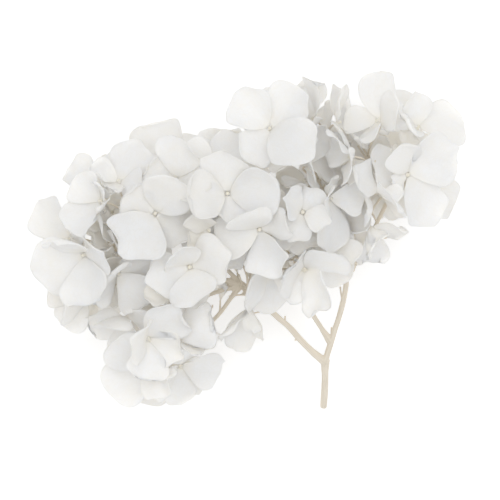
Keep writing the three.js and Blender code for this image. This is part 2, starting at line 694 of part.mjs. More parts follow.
// A floret that would still cut into a neighbour or a stem gives way until it has room.
function fitSepals(florets, stems) {
  florets.forEach(partSepals);
  const solids = florets.map(standing);
  const reach = SEPAL_LENGTH * PAIR_REACH;
  let moved = new Set(florets);
  for (let round = 0; moved.size && round < FITTING_ROUNDS; round += 1) {
    const touched = new Set();
    florets.forEach((floret, i) => {
      florets.slice(0, i).forEach((other, j) => {
        if (!moved.has(floret) && !moved.has(other)) return;
        if (floret.hub.distanceTo(other.hub) > reach) return;
        const middle = sharedMiddle(solids[i], solids[j]);
        if (!middle) return;
        giveWay(floret, middle, other.hub.clone().sub(middle));
        giveWay(other, middle, floret.hub.clone().sub(middle));
        touched.add(floret).add(other);
      });
      if (!moved.has(floret)) return;
      for (const stem of stems) {
        const middle = sharedMiddle(solids[i], stem);
        if (!middle) continue;
        giveWay(floret, middle, middle.clone().sub(floret.hub));
        touched.add(floret);
      }
    });
    for (const floret of touched) {
      partSepals(floret);
      solids[florets.indexOf(floret)] = standing(floret);
    }
    moved = touched;
  }
}

// ---------------------------------------------------------------- the whole flower

const stemMaterial = new THREE.MeshStandardMaterial({ color: '#dccfb8', roughness: 0.75, metalness: 0 });
const sepalMaterial = new THREE.MeshStandardMaterial({ color: '#f1efea', roughness: 0.7, metalness: 0 });

function part(name, geometry, material) {
  const mesh = new THREE.Mesh(geometry, material);
  mesh.name = name;
  return mesh;
}

// How far back along its stem a floret may spring, how squarely it leaves, and how far from the stem's
// middle its stalk starts, at the swollen end and elsewhere, in the stem's radii.
const LAST_STRETCH = 0.3;
const SQUARENESS = 0.75;
const START_AT_END = 1.3;
const START_ALONG = 1.1;

// Each floret of a stem springs from its own place along the stem's last stretch.
function plantFlorets() {
  const florets = [];
  for (const [name, rows] of Object.entries(FLORETS)) {
    const stem = STEMS[name];
    const curve = new THREE.CatmullRomCurve3(stem.route.map(place), false, 'centripetal');
    const length = curve.getLength();
    rows.forEach((row, i) => {
      const share = Math.max(LAST_STRETCH, 1 - (i * PEDICEL_PITCH) / length);
      const root = curve.getPointAt(share);
      const along = curve.getTangentAt(share);
      const outward = place(row.at).sub(root);
      if (i) outward.addScaledVector(along, -outward.dot(along) * SQUARENESS);
      outward.normalize();
      const radius = (stem.ends[1] / 2) * (i ? START_ALONG : START_AT_END);
      const anchor = root.addScaledVector(outward, radius);
      florets.push(makeFloret(row, florets.length + 1, anchor, outward));
    });
  }
  return florets;
}

function buildFlower() {
  const flower = new THREE.Group();
  const stems = Object.entries(STEMS).map(([name, stem]) => part(name, fittedStem(stem), stemMaterial));
  flower.add(...stems);
  const florets = plantFlorets();
  growHead(florets);
  fitSepals(florets, stems.map((stem) => toSolid(stem.geometry)));
  florets.forEach((floret, i) => {
    const number = String(i + 1).padStart(2, '0');
    const mesh = part(`floret_${number}`, floretGeometry(floret), sepalMaterial);
    mesh.position.copy(floret.hub);
    mesh.quaternion.copy(floret.turned);
    flower.add(mesh);
  });
  const box = new THREE.Box3().setFromObject(flower, true);
  flower.position.set(-(box.min.x + box.max.x) / 2, -(box.min.y + box.max.y) / 2, -box.min.z);
  return flower;
}

export default buildFlower();
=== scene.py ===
"""Dried hydrangea: the looks of a bleached and preserved mophead flower that lies on a pale surface."""

import math

import bpy
import numpy as np
from mathutils import Matrix, Vector, kdtree, noise
from mathutils.bvhtree import BVHTree


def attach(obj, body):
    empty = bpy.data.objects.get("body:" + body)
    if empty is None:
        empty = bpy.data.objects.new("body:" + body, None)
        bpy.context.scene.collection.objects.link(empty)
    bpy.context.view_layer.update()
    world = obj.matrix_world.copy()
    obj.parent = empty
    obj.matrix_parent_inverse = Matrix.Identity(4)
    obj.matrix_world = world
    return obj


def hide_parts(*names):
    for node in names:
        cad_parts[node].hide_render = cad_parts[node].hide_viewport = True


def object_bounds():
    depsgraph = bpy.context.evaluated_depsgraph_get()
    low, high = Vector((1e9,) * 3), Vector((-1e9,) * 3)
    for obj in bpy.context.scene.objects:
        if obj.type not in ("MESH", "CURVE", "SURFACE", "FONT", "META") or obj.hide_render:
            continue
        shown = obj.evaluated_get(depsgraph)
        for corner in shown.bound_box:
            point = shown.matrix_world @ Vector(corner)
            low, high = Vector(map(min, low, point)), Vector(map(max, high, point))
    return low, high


bl_info = {
    "name": "Dried Hydrangea",
    "version": (1, 0, 0),
    "blender": (4, 5, 0),
    "location": "3D View > Sidebar > Hydrangea",
    "description": "Makes the papery florets and dry stalks of a preserved hydrangea round its CAD frame",
    "category": "Object",
}

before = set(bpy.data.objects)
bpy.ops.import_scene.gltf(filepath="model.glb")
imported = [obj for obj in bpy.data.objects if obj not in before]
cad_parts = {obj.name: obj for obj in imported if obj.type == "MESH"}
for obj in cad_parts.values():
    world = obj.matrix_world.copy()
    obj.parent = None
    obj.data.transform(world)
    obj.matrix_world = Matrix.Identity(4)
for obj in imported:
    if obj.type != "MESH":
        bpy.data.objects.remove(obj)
CAD_BOX = [list(corner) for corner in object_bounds()]

MM = 0.001
STEM_NODES = sorted(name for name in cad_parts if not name.startswith("floret"))
FLORET_NODES = sorted(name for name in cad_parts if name.startswith("floret"))

# Kinds of surface on one piece, in the order of its material slots.
SEPAL, STALK, BUD = 0, 1, 2
# One unit of a surface's map stands for this many millimetres.
MAP_MM = 10
TURN = 2 * math.pi


def linear(hex_colour):
    """An sRGB hex colour as linear numbers."""
    channels = [int(hex_colour[i:i + 2], 16) / 255 for i in (1, 3, 5)]
    return tuple(c / 12.92 if c <= 0.04045 else ((c + 0.055) / 1.055) ** 2.4 for c in channels)


# ---------------------------------------------------------------- sizes and colours


def length(name, description, millimetres):
    return bpy.props.FloatProperty(
        name=name, description=description, default=millimetres * MM, min=0, precision=5,
        subtype="DISTANCE", unit="LENGTH")


def colour(name, description, hex_colour):
    return bpy.props.FloatVectorProperty(
        name=name, description=description, default=linear(hex_colour), size=3, min=0, max=1,
        subtype="COLOR")


class HydrangeaSizes(bpy.types.PropertyGroup):
    """Sizes of the dried flower's details."""

    sepal_middle: length("Sepal middle", "Thickness of a sepal along its midrib", 0.26)
    sepal_edge: length("Sepal edge", "Thickness of a sepal at its margin", 0.12)
    ruffle: length("Ruffle", "Height of the waves along a sepal's margin", 0.95)
    buckle: length("Buckle", "Height of the soft buckles across a sepal", 0.8)
    midrib: length("Midrib", "Depth of the furrow over a sepal's midrib", 0.16)
    pedicel: length("Pedicel", "Diameter of the stalk of one floret", 1.0)
    bud: length("Bud", "Width of the closed bud in a floret's middle", 1.5)
    vein_spacing: length("Vein spacing", "Distance between the small veins of a sepal", 1.5)
    ridge_spacing: length("Ridge spacing", "Distance between the ridges along a stalk", 0.55)
    twig: length("Twig", "Diameter of the bare stalks that lost their florets", 0.9)
    stem_voxel: length("Stem detail", "Size of the steps in which the forks are melted together", 0.3)
    inner_florets: bpy.props.IntProperty(
        name="Inner florets", description="How many small florets at most fill the gaps of the head",
        default=90, min=0, max=200)


class HydrangeaColours(bpy.types.PropertyGroup):
    """Colours of the dried flower and what it lies on."""

    # Sepal ivory is a real trace of tan. On the inner florets, which take more of it, it is also painted warm
    # shade of the head's hollows.
    sepal_white: colour("Sepal white", "Bleached sepal where it is cleanest", "#F4F3F0")
    sepal_ivory_and_inner_shade: colour("Sepal ivory", "Bleached sepal where some tan is left", "#F2EADA")
    sepal_claw: colour("Sepal claw", "The foot of a sepal by the bud", "#ECE5D6")
    bud_cream: colour("Bud cream", "Closed bud in a floret's middle", "#ECE8DC")
    bud_tip: colour("Bud tip", "Folds at the top of the bud", "#DDD7C4")
    stalk_pale: colour("Stalk pale", "Bleached bark of the stalks", "#EADEC9")
    stalk_dark: colour("Stalk dark", "Furrows and scars of the stalks", "#CDBFA8")
    pith: colour("Pith", "Soft middle of the cut end", "#F0E8D8")
    floor: colour("Floor", "The surface that the flower lies on", "#FDFDFD")


# ---------------------------------------------------------------- reading the frame

# Rows of a CAD sepal from the hub to the tip, with the tip as the last.
SEPAL_ROWS = 6
# Round a sepal's tip the rims stand out at least this far, and this many times as far as the middles.
RIM_REACH, RIM_TO_MIDDLE = 1.35 * MM, 1.4
# Points along a CAD stem that lie further apart than this are on different rings.
RING_GAP = 2.2 * MM
STEM_STEPS, STEM_ROOT, STEM_END = 7, 1.2 * MM, 0.8 * MM


def joined_mesh(node_name):
    """The points of a CAD node, each place once, and the neighbours of each."""
    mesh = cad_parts[node_name].data
    places, points, joined = {}, [], []
    for vertex in mesh.vertices:
        key = tuple(round(c, 7) for c in vertex.co)
        if key not in places:
            places[key] = len(points)
            points.append(np.array(vertex.co))
        joined.append(places[key])
    near = [set() for _ in points]
    for edge in mesh.edges:
        a, b = (joined[i] for i in edge.vertices)
        if a != b:
            near[a].add(b)
            near[b].add(a)
    return points, near


def only(found, what):
    if len(found) != 1:
        raise RuntimeError(f"the frame has {len(found)} places for {what}, not one")
    return next(iter(found))


def tip_ring(points, near, tip):
    """The ring round a sepal's tip as (rim, middle, rim, middle), or None where this isn't a tip."""
    if len(near[tip]) != 4:
        return None
    first = min(near[tip])
    across = [i for i in near[tip] if i != first and i not in near[first]]
    if len(across) != 1:
        return None
    pairs = [(first, across[0]), tuple(near[tip] - {first, across[0]})]
    reach = [sorted(np.linalg.norm(points[i] - points[tip]) for i in pair) for pair in pairs]
    if reach[0][1] > reach[1][1]:
        pairs.reverse()
        reach.reverse()
    middles, rims = pairs
    if reach[1][0] < RIM_REACH or reach[1][0] < RIM_TO_MIDDLE * reach[0][1]:
        return None
    return [rims[0], middles[0], rims[1], middles[1]]


def sepal_rings(near, tip, ring):
    """A sepal's rings from its tip inwards to the hub."""
    rings, seen = [ring], {tip}
    for _ in range(SEPAL_ROWS - 2):
        seen |= set(ring)
        inner = set().union(*(near[i] for i in ring)) - seen
        rims = [only(near[i] & inner, "a sepal's rim") for i in (ring[0], ring[2])]
        left = inner - set(rims)
        middles = [only(near[i] & left, "a sepal's middle") for i in (ring[1], ring[3])]
        ring = [rims[0], middles[0], rims[1], middles[1]]
        rings.append(ring)
    return rings


def read_floret(node_name):
    """The lines of a CAD floret: each sepal's rims and middle, the hub, and the pedicel's centre line."""
    points, near = joined_mesh(node_name)
    sheets = []
    for tip in range(len(points)):
        ring = tip_ring(points, near, tip)
        if ring:
            sheets.append((tip, sepal_rings(near, tip, ring)))
    if len(sheets) != 4:
        raise RuntimeError(f"{node_name} has {len(sheets)} sepals, not four")

    taken = {i for tip, rings in sheets for ring in rings for i in ring} | {tip for tip, _ in sheets}
    middles = {rings[-1][k] for _, rings in sheets for k in (1, 3)}
    side = {sheets[0][1][-1][1]}
    while True:
        grown = side | {j for i in side for j in near[i] & middles}
        if grown == side:
            break
        side = grown
    rest = middles - side
    beyond = set().union(*(near[i] for i in side)) - taken
    common = set.intersection(*(near[i] for i in beyond)) - side
    bud_side, stalk_side = (side, rest) if common else (rest, side)

    ring, centres, seen = stalk_side, [], set(taken)
    while True:
        seen |= ring
        ring = set().union(*(near[i] for i in ring)) - seen
        if not ring:
            break
        centres.append(np.mean([points[i] for i in ring], axis=0))

    top = np.mean([points[i] for i in bud_side], axis=0)
    bottom = np.mean([points[i] for i in stalk_side], axis=0)
    axis = (top - bottom) / np.linalg.norm(top - bottom)
    sepals = []
    for tip, rings in sheets:
        rings = rings[::-1]
        over, under = (1, 3) if rings[0][1] in bud_side else (3, 1)
        up = points[rings[2][over]] - points[rings[2][under]]
        middle = np.array([(points[r[1]] + points[r[3]]) / 2 for r in rings] + [points[tip]])
        across = points[rings[2][2]] - points[rings[2][0]]
        right, left = (2, 0) if np.cross(across, middle[3] - middle[1]) @ up > 0 else (0, 2)
        rims = {name: np.array([points[r[k]] for r in rings] + [points[tip]])
                for name, k in (("right", right), ("left", left))}
        sepals.append({**rims, "middle": middle, "corners": (rings[0][right], rings[0][left])})
    return {"sepals": sepals, "hub": (top + bottom) / 2, "axis": axis, "pedicel": centres}


def stem_line(node_name):
    """The centre line of a CAD stem with its radii: the middles and sizes of its rings, root first."""
    points = np.array(joined_mesh(node_name)[0])
    middle = points.mean(axis=0)
    along = np.linalg.svd(points - middle)[2][0]
    if along[2] < 0:
        along = -along
    order = np.argsort((points - middle) @ along)
    reach = ((points - middle) @ along)[order]
    cuts = np.flatnonzero(np.diff(reach) > RING_GAP) + 1
    rings = np.split(points[order], cuts)
    centres = np.array([ring.mean(axis=0) for ring in rings])
    radii = np.array([np.linalg.norm(ring - c, axis=1).max() for ring, c in zip(rings, centres)])
    return centres, radii


def smooth_stem(node_name):
    """A stem's line and radii in fine steps, a little longer at both ends so that it meets its neighbours."""
    centres, radii = stem_line(node_name)
    t = np.linspace(0, len(centres) - 1, STEM_STEPS * (len(centres) - 1) + 1)
    line, thick = through(centres, t), np.interp(t, np.arange(len(centres)), radii)
    first = line[0] - (line[1] - line[0]) / np.linalg.norm(line[1] - line[0]) * STEM_ROOT
    last = line[-1] + (line[-1] - line[-2]) / np.linalg.norm(line[-1] - line[-2]) * STEM_END
    if node_name == "main_stem":
        return np.vstack([line, last]), np.append(thick, thick[-1])
    return np.vstack([first, line, last]), np.concatenate([[thick[0]], thick, [thick[-1] * 0.8]])


# ---------------------------------------------------------------- shapes


def through(knots, t):
    """Places on a smooth curve through the knots; t counts in knots."""
    knots = np.asarray(knots)
    t = np.asarray(t, float)
    ends = np.vstack([2 * knots[0] - knots[1], knots, 2 * knots[-1] - knots[-2]])
    i = np.clip(t.astype(int), 0, len(knots) - 2)
    f = (t - i)[:, None]
    a, b, c, d = ends[i], ends[i + 1], ends[i + 2], ends[i + 3]
    return b + 0.5 * f * (c - a + f * (2 * a - 5 * b + 4 * c - d + f * (3 * (b - c) + d - a)))


def reach_along(line):
    """How far each point of a line is from its start, measured along the line."""
    return np.concatenate([[0], np.cumsum(np.linalg.norm(np.diff(line, axis=0), axis=1))])


def lay_map(mesh, places, tones):
    """Gives a mesh its map, from each point's place in millimetres, and each point's tone."""
    corners = np.zeros(len(mesh.loops), int)
    mesh.loops.foreach_get("vertex_index", corners)
    layer = mesh.uv_layers.new(name="place")
    layer.data.foreach_set("uv", (places[corners] / MAP_MM).ravel())
    tone = mesh.attributes.new("tone", "FLOAT", "POINT")
    tone.data.foreach_set("value", tones)
    return corners


class Shape:
    """Collects the surfaces of one piece."""

    def __init__(self):
        self.points, self.faces, self.kinds, self.places, self.tones = [], [], [], [], []
        self.count = 0

    def add(self, points, faces, kind, places, tone):
        """Adds points, faces that count from this first point, their kind, and each point's place on
        the surface in millimetres with the tone of the whole."""
        self.points.append(np.asarray(points))
        self.places.append(np.asarray(places))
        self.tones.append(np.full(len(points), tone))
        self.faces += [tuple(i + self.count for i in face) for face in faces]
        self.kinds += [kind] * len(faces)
        self.count += len(points)

    def tree(self):
        return BVHTree.FromPolygons(np.vstack(self.points).tolist(), self.faces)

    def build(self, name, materials, node_names=(), slot=SEPAL):
        """Makes the piece, which rides on the flower's one body."""
        points = np.vstack(self.points)
        points[:, 2] = np.maximum(points[:, 2], CAD_BOX[0][2] + 0.1 * MM)
        mesh = bpy.data.meshes.new(name)
        mesh.from_pydata(points.tolist(), [], self.faces)
        mesh.polygons.foreach_set("material_index", self.kinds)
        mesh.polygons.foreach_set("use_smooth", [True] * len(self.faces))
        lay_map(mesh, np.vstack(self.places), np.concatenate(self.tones))
        for material in materials:
            mesh.materials.append(material)
        mesh.update()
        piece = bpy.data.objects.new(name, mesh)
        bpy.context.scene.collection.objects.link(piece)
        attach(piece, "root")
        if node_names:
            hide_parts(*node_names)


def tube_faces(rows, sides):
    """The faces of a tube of rings, with a face across each end."""
    faces = []
    for start in range(0, (rows - 1) * sides, sides):
        for i in range(sides):
            after = (i + 1) % sides
            faces.append((start + i, start + after, start + sides + after, start + sides + i))
    last = (rows - 1) * sides
    return faces + [tuple(range(sides))[::-1], tuple(range(last, last + sides))]


def frames_along(line):
    """Two directions square to a line at each of its points, turning as little as they can."""
    tangents = np.gradient(line, axis=0)
    tangents /= np.linalg.norm(tangents, axis=1)[:, None]
    side = np.cross(tangents[0], [0.31, 0.47, 0.82])
    sides = []
    for tangent in tangents:
        side = side - (side @ tangent) * tangent
        side = side / np.linalg.norm(side)
        sides.append(side)
    sides = np.array(sides)
    return sides, np.cross(tangents, sides)


def add_tube(shape, line, radii, sides, tone, kind=STALK, wobble=0.0, seed=0):
    """A round stalk along a line with closed ends."""
    line = np.asarray(line)
    normal, binormal = frames_along(line)
    reach = reach_along(line)
    angles = np.arange(sides) / sides * 2 * math.pi
    points, places = [], []
    for j, (centre, radius) in enumerate(zip(line, radii)):
        for angle in angles:
            x, y = math.cos(angle), math.sin(angle)
            bump = 1 + wobble * noise.noise((x, y, reach[j] / MM * 0.35 + seed))
            spoke = x * normal[j] + y * binormal[j]
            points.append(centre + spoke * radius * bump)
            places.append((angle * radius / MM, reach[j] / MM))
    shape.add(points, tube_faces(len(line), sides), kind, places, tone)


# How many times as wide as the CAD's narrow sheet each row of a sepal is, from hub to tip.
SPREAD_ROWS = np.array([1.0, 1.5, 1.2, 1.04, 1.26, 1.0])
FINE_ROWS, FINE_COLUMNS = 22, 16
# Where two sepals overlap, how far the lower edge sinks and the upper one rises, and how much of that
# each row takes.
SINK, RISE = 0.6 * MM, 0.5 * MM
OVERLAP_ROWS = ((1, 1.0), (2, 0.9), (3, 0.5))
# The share of a sepal's length over which its relief grows from nothing, at the claw.
CLAW = 0.5
MIDRIB_REACH, VEIN_REACH, FOLD_REACH = 0.6 * MM, 0.5 * MM, 1.5 * MM
# Where the side veins run, as shares of the half width.
SIDE_VEINS = (-0.6, -0.3, 0.3, 0.6)


def lay_over(sepals, axis):
    """Neighbouring sepals overlap like tiles: of each two, the lower one's edge lies flat under the other."""
    for a, sepal in enumerate(sepals):
        for other in sepals[a + 1:]:
            for corner in set(sepal["corners"]) & set(other["corners"]):
                sides = [("right", "left")[s["corners"].index(corner)] for s in (sepal, other)]
                heights = [s[side][1:3].mean(axis=0) @ axis for s, side in zip((sepal, other), sides)]
                under = 0 if heights[0] < heights[1] else 1
                low, low_side = (sepal, other)[under], sides[under]
                high, high_side = (sepal, other)[1 - under], sides[1 - under]
                for row, part in OVERLAP_ROWS:
                    rise = (low[low_side][row] - low["middle"][row]) @ axis
                    low[low_side][row] -= axis * (max(0, rise) + SINK) * part
                    high[high_side][row] += axis * RISE * part


def spread_rims(sepal, rng):
    """Broadens the CAD's sheet to the full outline, round, blunt or a little pointed."""
    style = rng.random()
    spread = SPREAD_ROWS * rng.uniform(0.97, 1.04)
    spread[0] = 1
    width = np.linalg.norm(sepal["left"][3] - sepal["right"][3])
    for row in range(1, SEPAL_ROWS - 1):
        for side in ("left", "right"):
            away = sepal[side][row] - sepal["middle"][row]
            sepal[side][row] = sepal["middle"][row] + away * spread[row] * rng.uniform(0.96, 1.04)
    outwards = sepal["middle"][5] - sepal["middle"][3]
    outwards = outwards / np.linalg.norm(outwards)
    if style < 0.35:
        tip_shift, pinch = rng.uniform(0.03, 0.09) * width, 0.74
    elif style < 0.5:
        tip_shift, pinch = rng.uniform(-0.1, -0.06) * width, 1.05
    else:
        tip_shift, pinch = rng.uniform(-0.01, 0.02) * width, 1.0
    sepal["middle"][5] = sepal["middle"][5] + outwards * tip_shift
    sepal["left"][5] = sepal["right"][5] = sepal["middle"][5]
    for side in ("left", "right"):
        away = sepal[side][4] - sepal["middle"][4]
        sepal[side][4] = sepal["middle"][4] + away * pinch


def eased(value, low, high=1.0):
    """Grows from 0 to 1 as the value goes from low to high."""
    return np.clip((value - low) / (high - low), 0, 1)


def sheet_faces():
    """The faces of a sepal's closed sheet: its upper side, its under side and the rim between them."""
    columns = FINE_COLUMNS + 1
    tip = FINE_ROWS * columns
    under, last = tip + 1, tip - columns
    faces = []
    for a in range(0, last, columns):
        for i in range(a, a + columns - 1):
            b = i + columns
            faces.append((i, i + 1, b + 1, b))
            faces.append((under + i, under + b, under + b + 1, under + i + 1))
        for i, step in ((a, 1), (a + columns - 1, -1)):
            faces.append((i, i + columns, under + i + columns, under + i)[::step])
    for i in range(columns - 1):
        faces.append((last + i, last + i + 1, tip))
        faces.append((under + last + i + 1, under + last + i, under + tip))
        faces.append((i + 1, i, under + i, under + i + 1))
    faces.append((last, tip, under + tip, under + last))
    faces.append((tip, last + columns - 1, under + last + columns - 1, under + tip))
    return faces


SHEET_FACES = sheet_faces()


def sepal_relief(sizes, grown, v, across, along, width, rng):
    """How far a sepal sinks at each point, from its ruffles, buckles, furrows, fold, bent tip and rolled
    edge, and how near each point is to the margin."""
    fade = eased(grown, 0, CLAW)
    edge = np.abs(v)
    margin = np.maximum(edge, eased(grown, 0.75) ** 2)
    waves, phase = rng.uniform(1.3, 2.6, 2), rng.uniform(0, 6.28, 2)
    running = np.where(v < 0, *(np.sin(TURN * waves[k] * grown + phase[k]) for k in (0, 1)))
    lift = sizes.ruffle * rng.uniform(0.35, 1.15) * running * edge ** 2.2 * fade
    seed = rng.uniform(0, 500)
    soft = np.array([[noise.noise((x / MM * 0.11 + seed, y / MM * 0.09, seed)) for x in row]
                     for row, y in zip(across, along)])
    crisp = np.array([[noise.noise((x / MM * 0.42, y / MM * 0.16 + seed, seed)) for x in row]
                      for row, y in zip(across, along)])
    lift += sizes.buckle * (1.6 * soft + 0.34 * crisp) * fade
    lift -= sizes.midrib * np.exp(-(across / MIDRIB_REACH) ** 2) * (1 - grown) * fade
    for k in SIDE_VEINS:
        vein = across - k * width * grown ** 0.4
        lift -= 0.35 * sizes.midrib * np.exp(-(vein / VEIN_REACH) ** 2) * (1 - grown) * fade
    roll = rng.uniform(-1.5, 0.8) * MM
    fold = rng.uniform(-0.12, 0.2)
    lift -= fold * np.abs(across) * (1 - np.exp(-(across / FOLD_REACH) ** 2)) * fade
    lift += rng.uniform(-2.2, 1.2) * MM * eased(grown, 0.45) ** 2
    lift += roll * eased(margin, 0.72) ** 2 * fade
    return lift, margin


def with_one_tip(values):
    """A sheet's values row by row, with its last row as the one value of the tip."""
    return np.vstack([values[:-1].reshape(-1, values.shape[2]), values[-1, FINE_COLUMNS // 2]])


def add_sepal(shape, sepal, sizes, rng, tone):
    """A thin closed sheet with a furrowed midrib, buckles, a ruffled margin and a rolled edge."""
    outline = np.vstack([sepal["right"], sepal["left"][:-1][::-1]])
    grown = np.linspace(0, 1, FINE_ROWS + 1)
    t, end = (SEPAL_ROWS - 1) * grown, len(outline) - 1
    right, left, middle = through(outline, t), through(outline, end - t), through(sepal["middle"], t)
    # The columns stand a little closer together towards the rims.
    v = np.linspace(-1, 1, FINE_COLUMNS + 1)[None, :]
    v = np.sign(v) * (1 - (1 - np.abs(v)) ** 1.15)
    half, cup = (left - right) / 2, (left + right) / 2 - middle
    sheet = middle[:, None] + v[:, :, None] * half[:, None] + (v ** 2)[:, :, None] * cup[:, None]

    width = np.linalg.norm(half, axis=1)[:, None]
    along = reach_along(middle)
    across = v * width
    normal = np.cross(np.gradient(sheet, axis=0), np.gradient(sheet, axis=1))
    size = np.linalg.norm(normal, axis=2)
    size[size < 1e-12] = 1
    normal /= size[:, :, None]
    normal[-1] = normal[-2][FINE_COLUMNS // 2]

    lift, margin = sepal_relief(sizes, grown[:, None], v, across, along, width, rng)
    sheet = sheet - normal * lift[:, :, None]
    thick = sizes.sepal_edge + (sizes.sepal_middle - sizes.sepal_edge) * (1 - margin ** 2)
    skin = normal * thick[:, :, None] / 2
    shift = rng.uniform(0, 90, 2)
    down = np.repeat(along[:, None], FINE_COLUMNS + 1, 1)
    place = with_one_tip(np.stack([across / MM + shift[0], down / MM], axis=2))
    points = np.vstack([with_one_tip(sheet - skin), with_one_tip(sheet + skin)])
    shape.add(points, SHEET_FACES, SEPAL, np.vstack([place, place]), tone)


# The bud and hub, from the pedicel up: radius as a share of the bud's half width, height in millimetres.
BUD_PROFILE = [
    (0.50, -1.9), (0.56, -1.4), (0.8, -0.95), (1.2, -0.5), (1.3, -0.1), (1.12, 0.3), (0.82, 0.52),
    (0.86, 0.72), (1.0, 0.98), (1.0, 1.28), (0.86, 1.58), (0.55, 1.8), (0.22, 1.88)]
# The row where the hub ends and the folded bud begins.
BUD_NECK = 6


def add_bud(shape, floret, sizes, rng):
    """The hub that the sepals spring from, and on it the closed bud with its four folded petals."""
    sides, axis = 20, floret["axis"]
    side = np.cross(axis, floret["sepals"][0]["middle"][3] - floret["hub"])
    side /= np.linalg.norm(side)
    other = np.cross(axis, side)
    squash = rng.uniform(0.9, 1.1)
    points, places = [], []
    for row, (radius, height) in enumerate(BUD_PROFILE):
        for i in range(sides):
            angle = i / sides * 2 * math.pi
            fold = 1 - (0.16 * abs(math.cos(2 * angle)) ** 6 if row > BUD_NECK else 0)
            reach = radius * sizes.bud / 2 * fold * (squash if row >= BUD_NECK else 1)
            points.append(floret["hub"] + reach * (math.cos(angle) * side + math.sin(angle) * other)
                          + height * MM * axis)
            places.append((angle * radius, height))
    shape.add(points, tube_faces(len(BUD_PROFILE), sides), BUD, places, rng.random())


PEDICEL_RINGS = 30


def add_pedicel(shape, floret, sizes, rng):
    """The floret's thin stalk, a little thicker at its root and bent by its own growth."""
    knots = [floret["hub"] - floret["axis"] * 0.6 * MM, *floret["pedicel"]]
    knots.append(knots[-1] + (knots[-1] - knots[-2]) / np.linalg.norm(knots[-1] - knots[-2]) * 0.9 * MM)
    line = through(knots, np.linspace(0, len(knots) - 1, PEDICEL_RINGS))
    radii = sizes.pedicel / 2 * np.linspace(0.86, 1.12, PEDICEL_RINGS)
    radii[-4:] *= np.array([1.05, 1.12, 1.2, 1.3])
    add_tube(shape, line, radii, 12, rng.random(), wobble=0.14, seed=rng.uniform(0, 99))


def open_floret(floret, rng):
    """Gives the CAD floret's sepals their full outlines, each pair of neighbours laid over like tiles."""
    lay_over(floret["sepals"], floret["axis"])
    for sepal in floret["sepals"]:
        spread_rims(sepal, rng)


# ---------------------------------------------------------------- fitting florets into gaps

# Where bare twigs stand along each stem, from its root to its end.
TWIG_PLACES = (0.3, 0.5, 0.68, 0.85, 0.97)
FORK_TWIGS = (0.62, 0.72, 0.78, 0.83, 0.88, 0.92, 0.95, 0.99)
# Florets whose hubs are further apart than this can't touch.
NEAR = 46 * MM
# How far apart the hubs of two florets are that leave a gap for a third.
GAPS = (13 * MM, 38 * MM)
# How far every sheet and twig that is fitted in stays inside the CAD's box.
MARGIN = 0.8 * MM
TWIG_RINGS = 16


def point_tree(points):
    tree = kdtree.KDTree(len(points))
    for i, point in enumerate(points):
        tree.insert(point, i)
    tree.balance()
    return tree


def neighbours(florets, rng):
    """Pairs of florets that stand side by side, in a mixed order that begins with the upper side."""
    pairs = []
    for a in range(len(florets)):
        for b in range(a):
            gap = np.linalg.norm(florets[a]["hub"] - florets[b]["hub"])
            if GAPS[0] < gap < GAPS[1]:
                up = florets[a]["axis"][2] + florets[b]["axis"][2]
                pairs.append((rng.random() - 0.35 * up, florets[a], florets[b]))
    return [pair[1:] for pair in sorted(pairs, key=lambda pair: pair[0])]


def turned(floret, hub, axis, spin, scale):
    """A floret like another one, smaller, at another place and facing another way."""
    old = Vector(floret["axis"])
    turn = np.array(old.rotation_difference(Vector(axis)).to_matrix()) @ np.array(rotation_about(old, spin))

    def moved(points):
        return (np.asarray(points) - floret["hub"]) @ turn.T * scale + hub

    sepals = [{**{name: moved(sepal[name]) for name in ("right", "left", "middle")},
               "corners": sepal["corners"]} for sepal in floret["sepals"]]
    return {"sepals": sepals, "hub": hub, "axis": np.asarray(axis), "pedicel": moved(floret["pedicel"])}


def rotation_about(axis, angle):
    c, s = math.cos(angle), math.sin(angle)
    upright = Vector((0, 0, 1)).rotation_difference(axis).to_matrix()
    return upright @ Matrix(((c, -s, 0), (s, c, 0), (0, 0, 1))) @ upright.transposed()


def coarse_sheet(sepal):
    """A sepal in a few faces."""
    points, faces = [], []
    for row in range(1, SEPAL_ROWS - 1):
        right, middle, left = (sepal[k][row] for k in ("right", "middle", "left"))
        points += [right, (right + middle) / 2, middle, (middle + left) / 2, left]
    points.append(sepal["middle"][-1])
    for j in range(SEPAL_ROWS - 3):
        for i in range(4):
            a = 5 * j + i
            faces.append((a, a + 1, a + 6, a + 5))
    last = 5 * (SEPAL_ROWS - 3)
    faces += [(last + i, last + i + 1, len(points) - 1) for i in range(4)]
    return points, faces


def withered_sepal(path, rng):
    """A narrow sepal at the end of a bare stalk, shaped like one of the CAD's but shrunk across."""
    model = read_floret(FLORET_NODES[rng.integers(len(FLORET_NODES))])["sepals"][0]
    base, down = model["middle"][0], model["middle"][3] - model["middle"][0]
    down = down / np.linalg.norm(down)
    wide = model["left"][3] - model["right"][3]
    wide = wide - (wide @ down) * down
    wide /= np.linalg.norm(wide)
    frame_from = np.array([down, wide, np.cross(down, wide)])
    along = (path[-1] - path[-3]) / np.linalg.norm(path[-1] - path[-3])
    side = np.cross(along, rng.normal(size=3))
    side /= np.linalg.norm(side)
    frame_to = np.array([along, side, np.cross(along, side)])
    shrink = np.array([0.62, 0.42, 0.6]) * rng.uniform(0.8, 1.1)
    lines = {name: path[-1] + ((model[name] - base) @ frame_from.T * shrink) @ frame_to
             for name in ("right", "middle", "left")}
    return {**lines, "corners": model["corners"]}


def lead_to_stem(floret, stems):
    """Bends an inner floret's stalk from its hub to the nearest place of the stems behind it."""
    root = floret["hub"] - floret["axis"] * 5 * MM
    behind = stems[(stems - floret["hub"]) @ floret["axis"] < -2 * MM]
    if not len(behind):
        behind = stems
    end = behind[np.argmin(np.linalg.norm(behind - root, axis=1))]
    start = floret["hub"] - floret["axis"] * 2.2 * MM
    floret["pedicel"] = [
        (1 - t) ** 2 * start + 2 * t * (1 - t) * root + t ** 2 * end for t in np.linspace(0, 1, 6)]


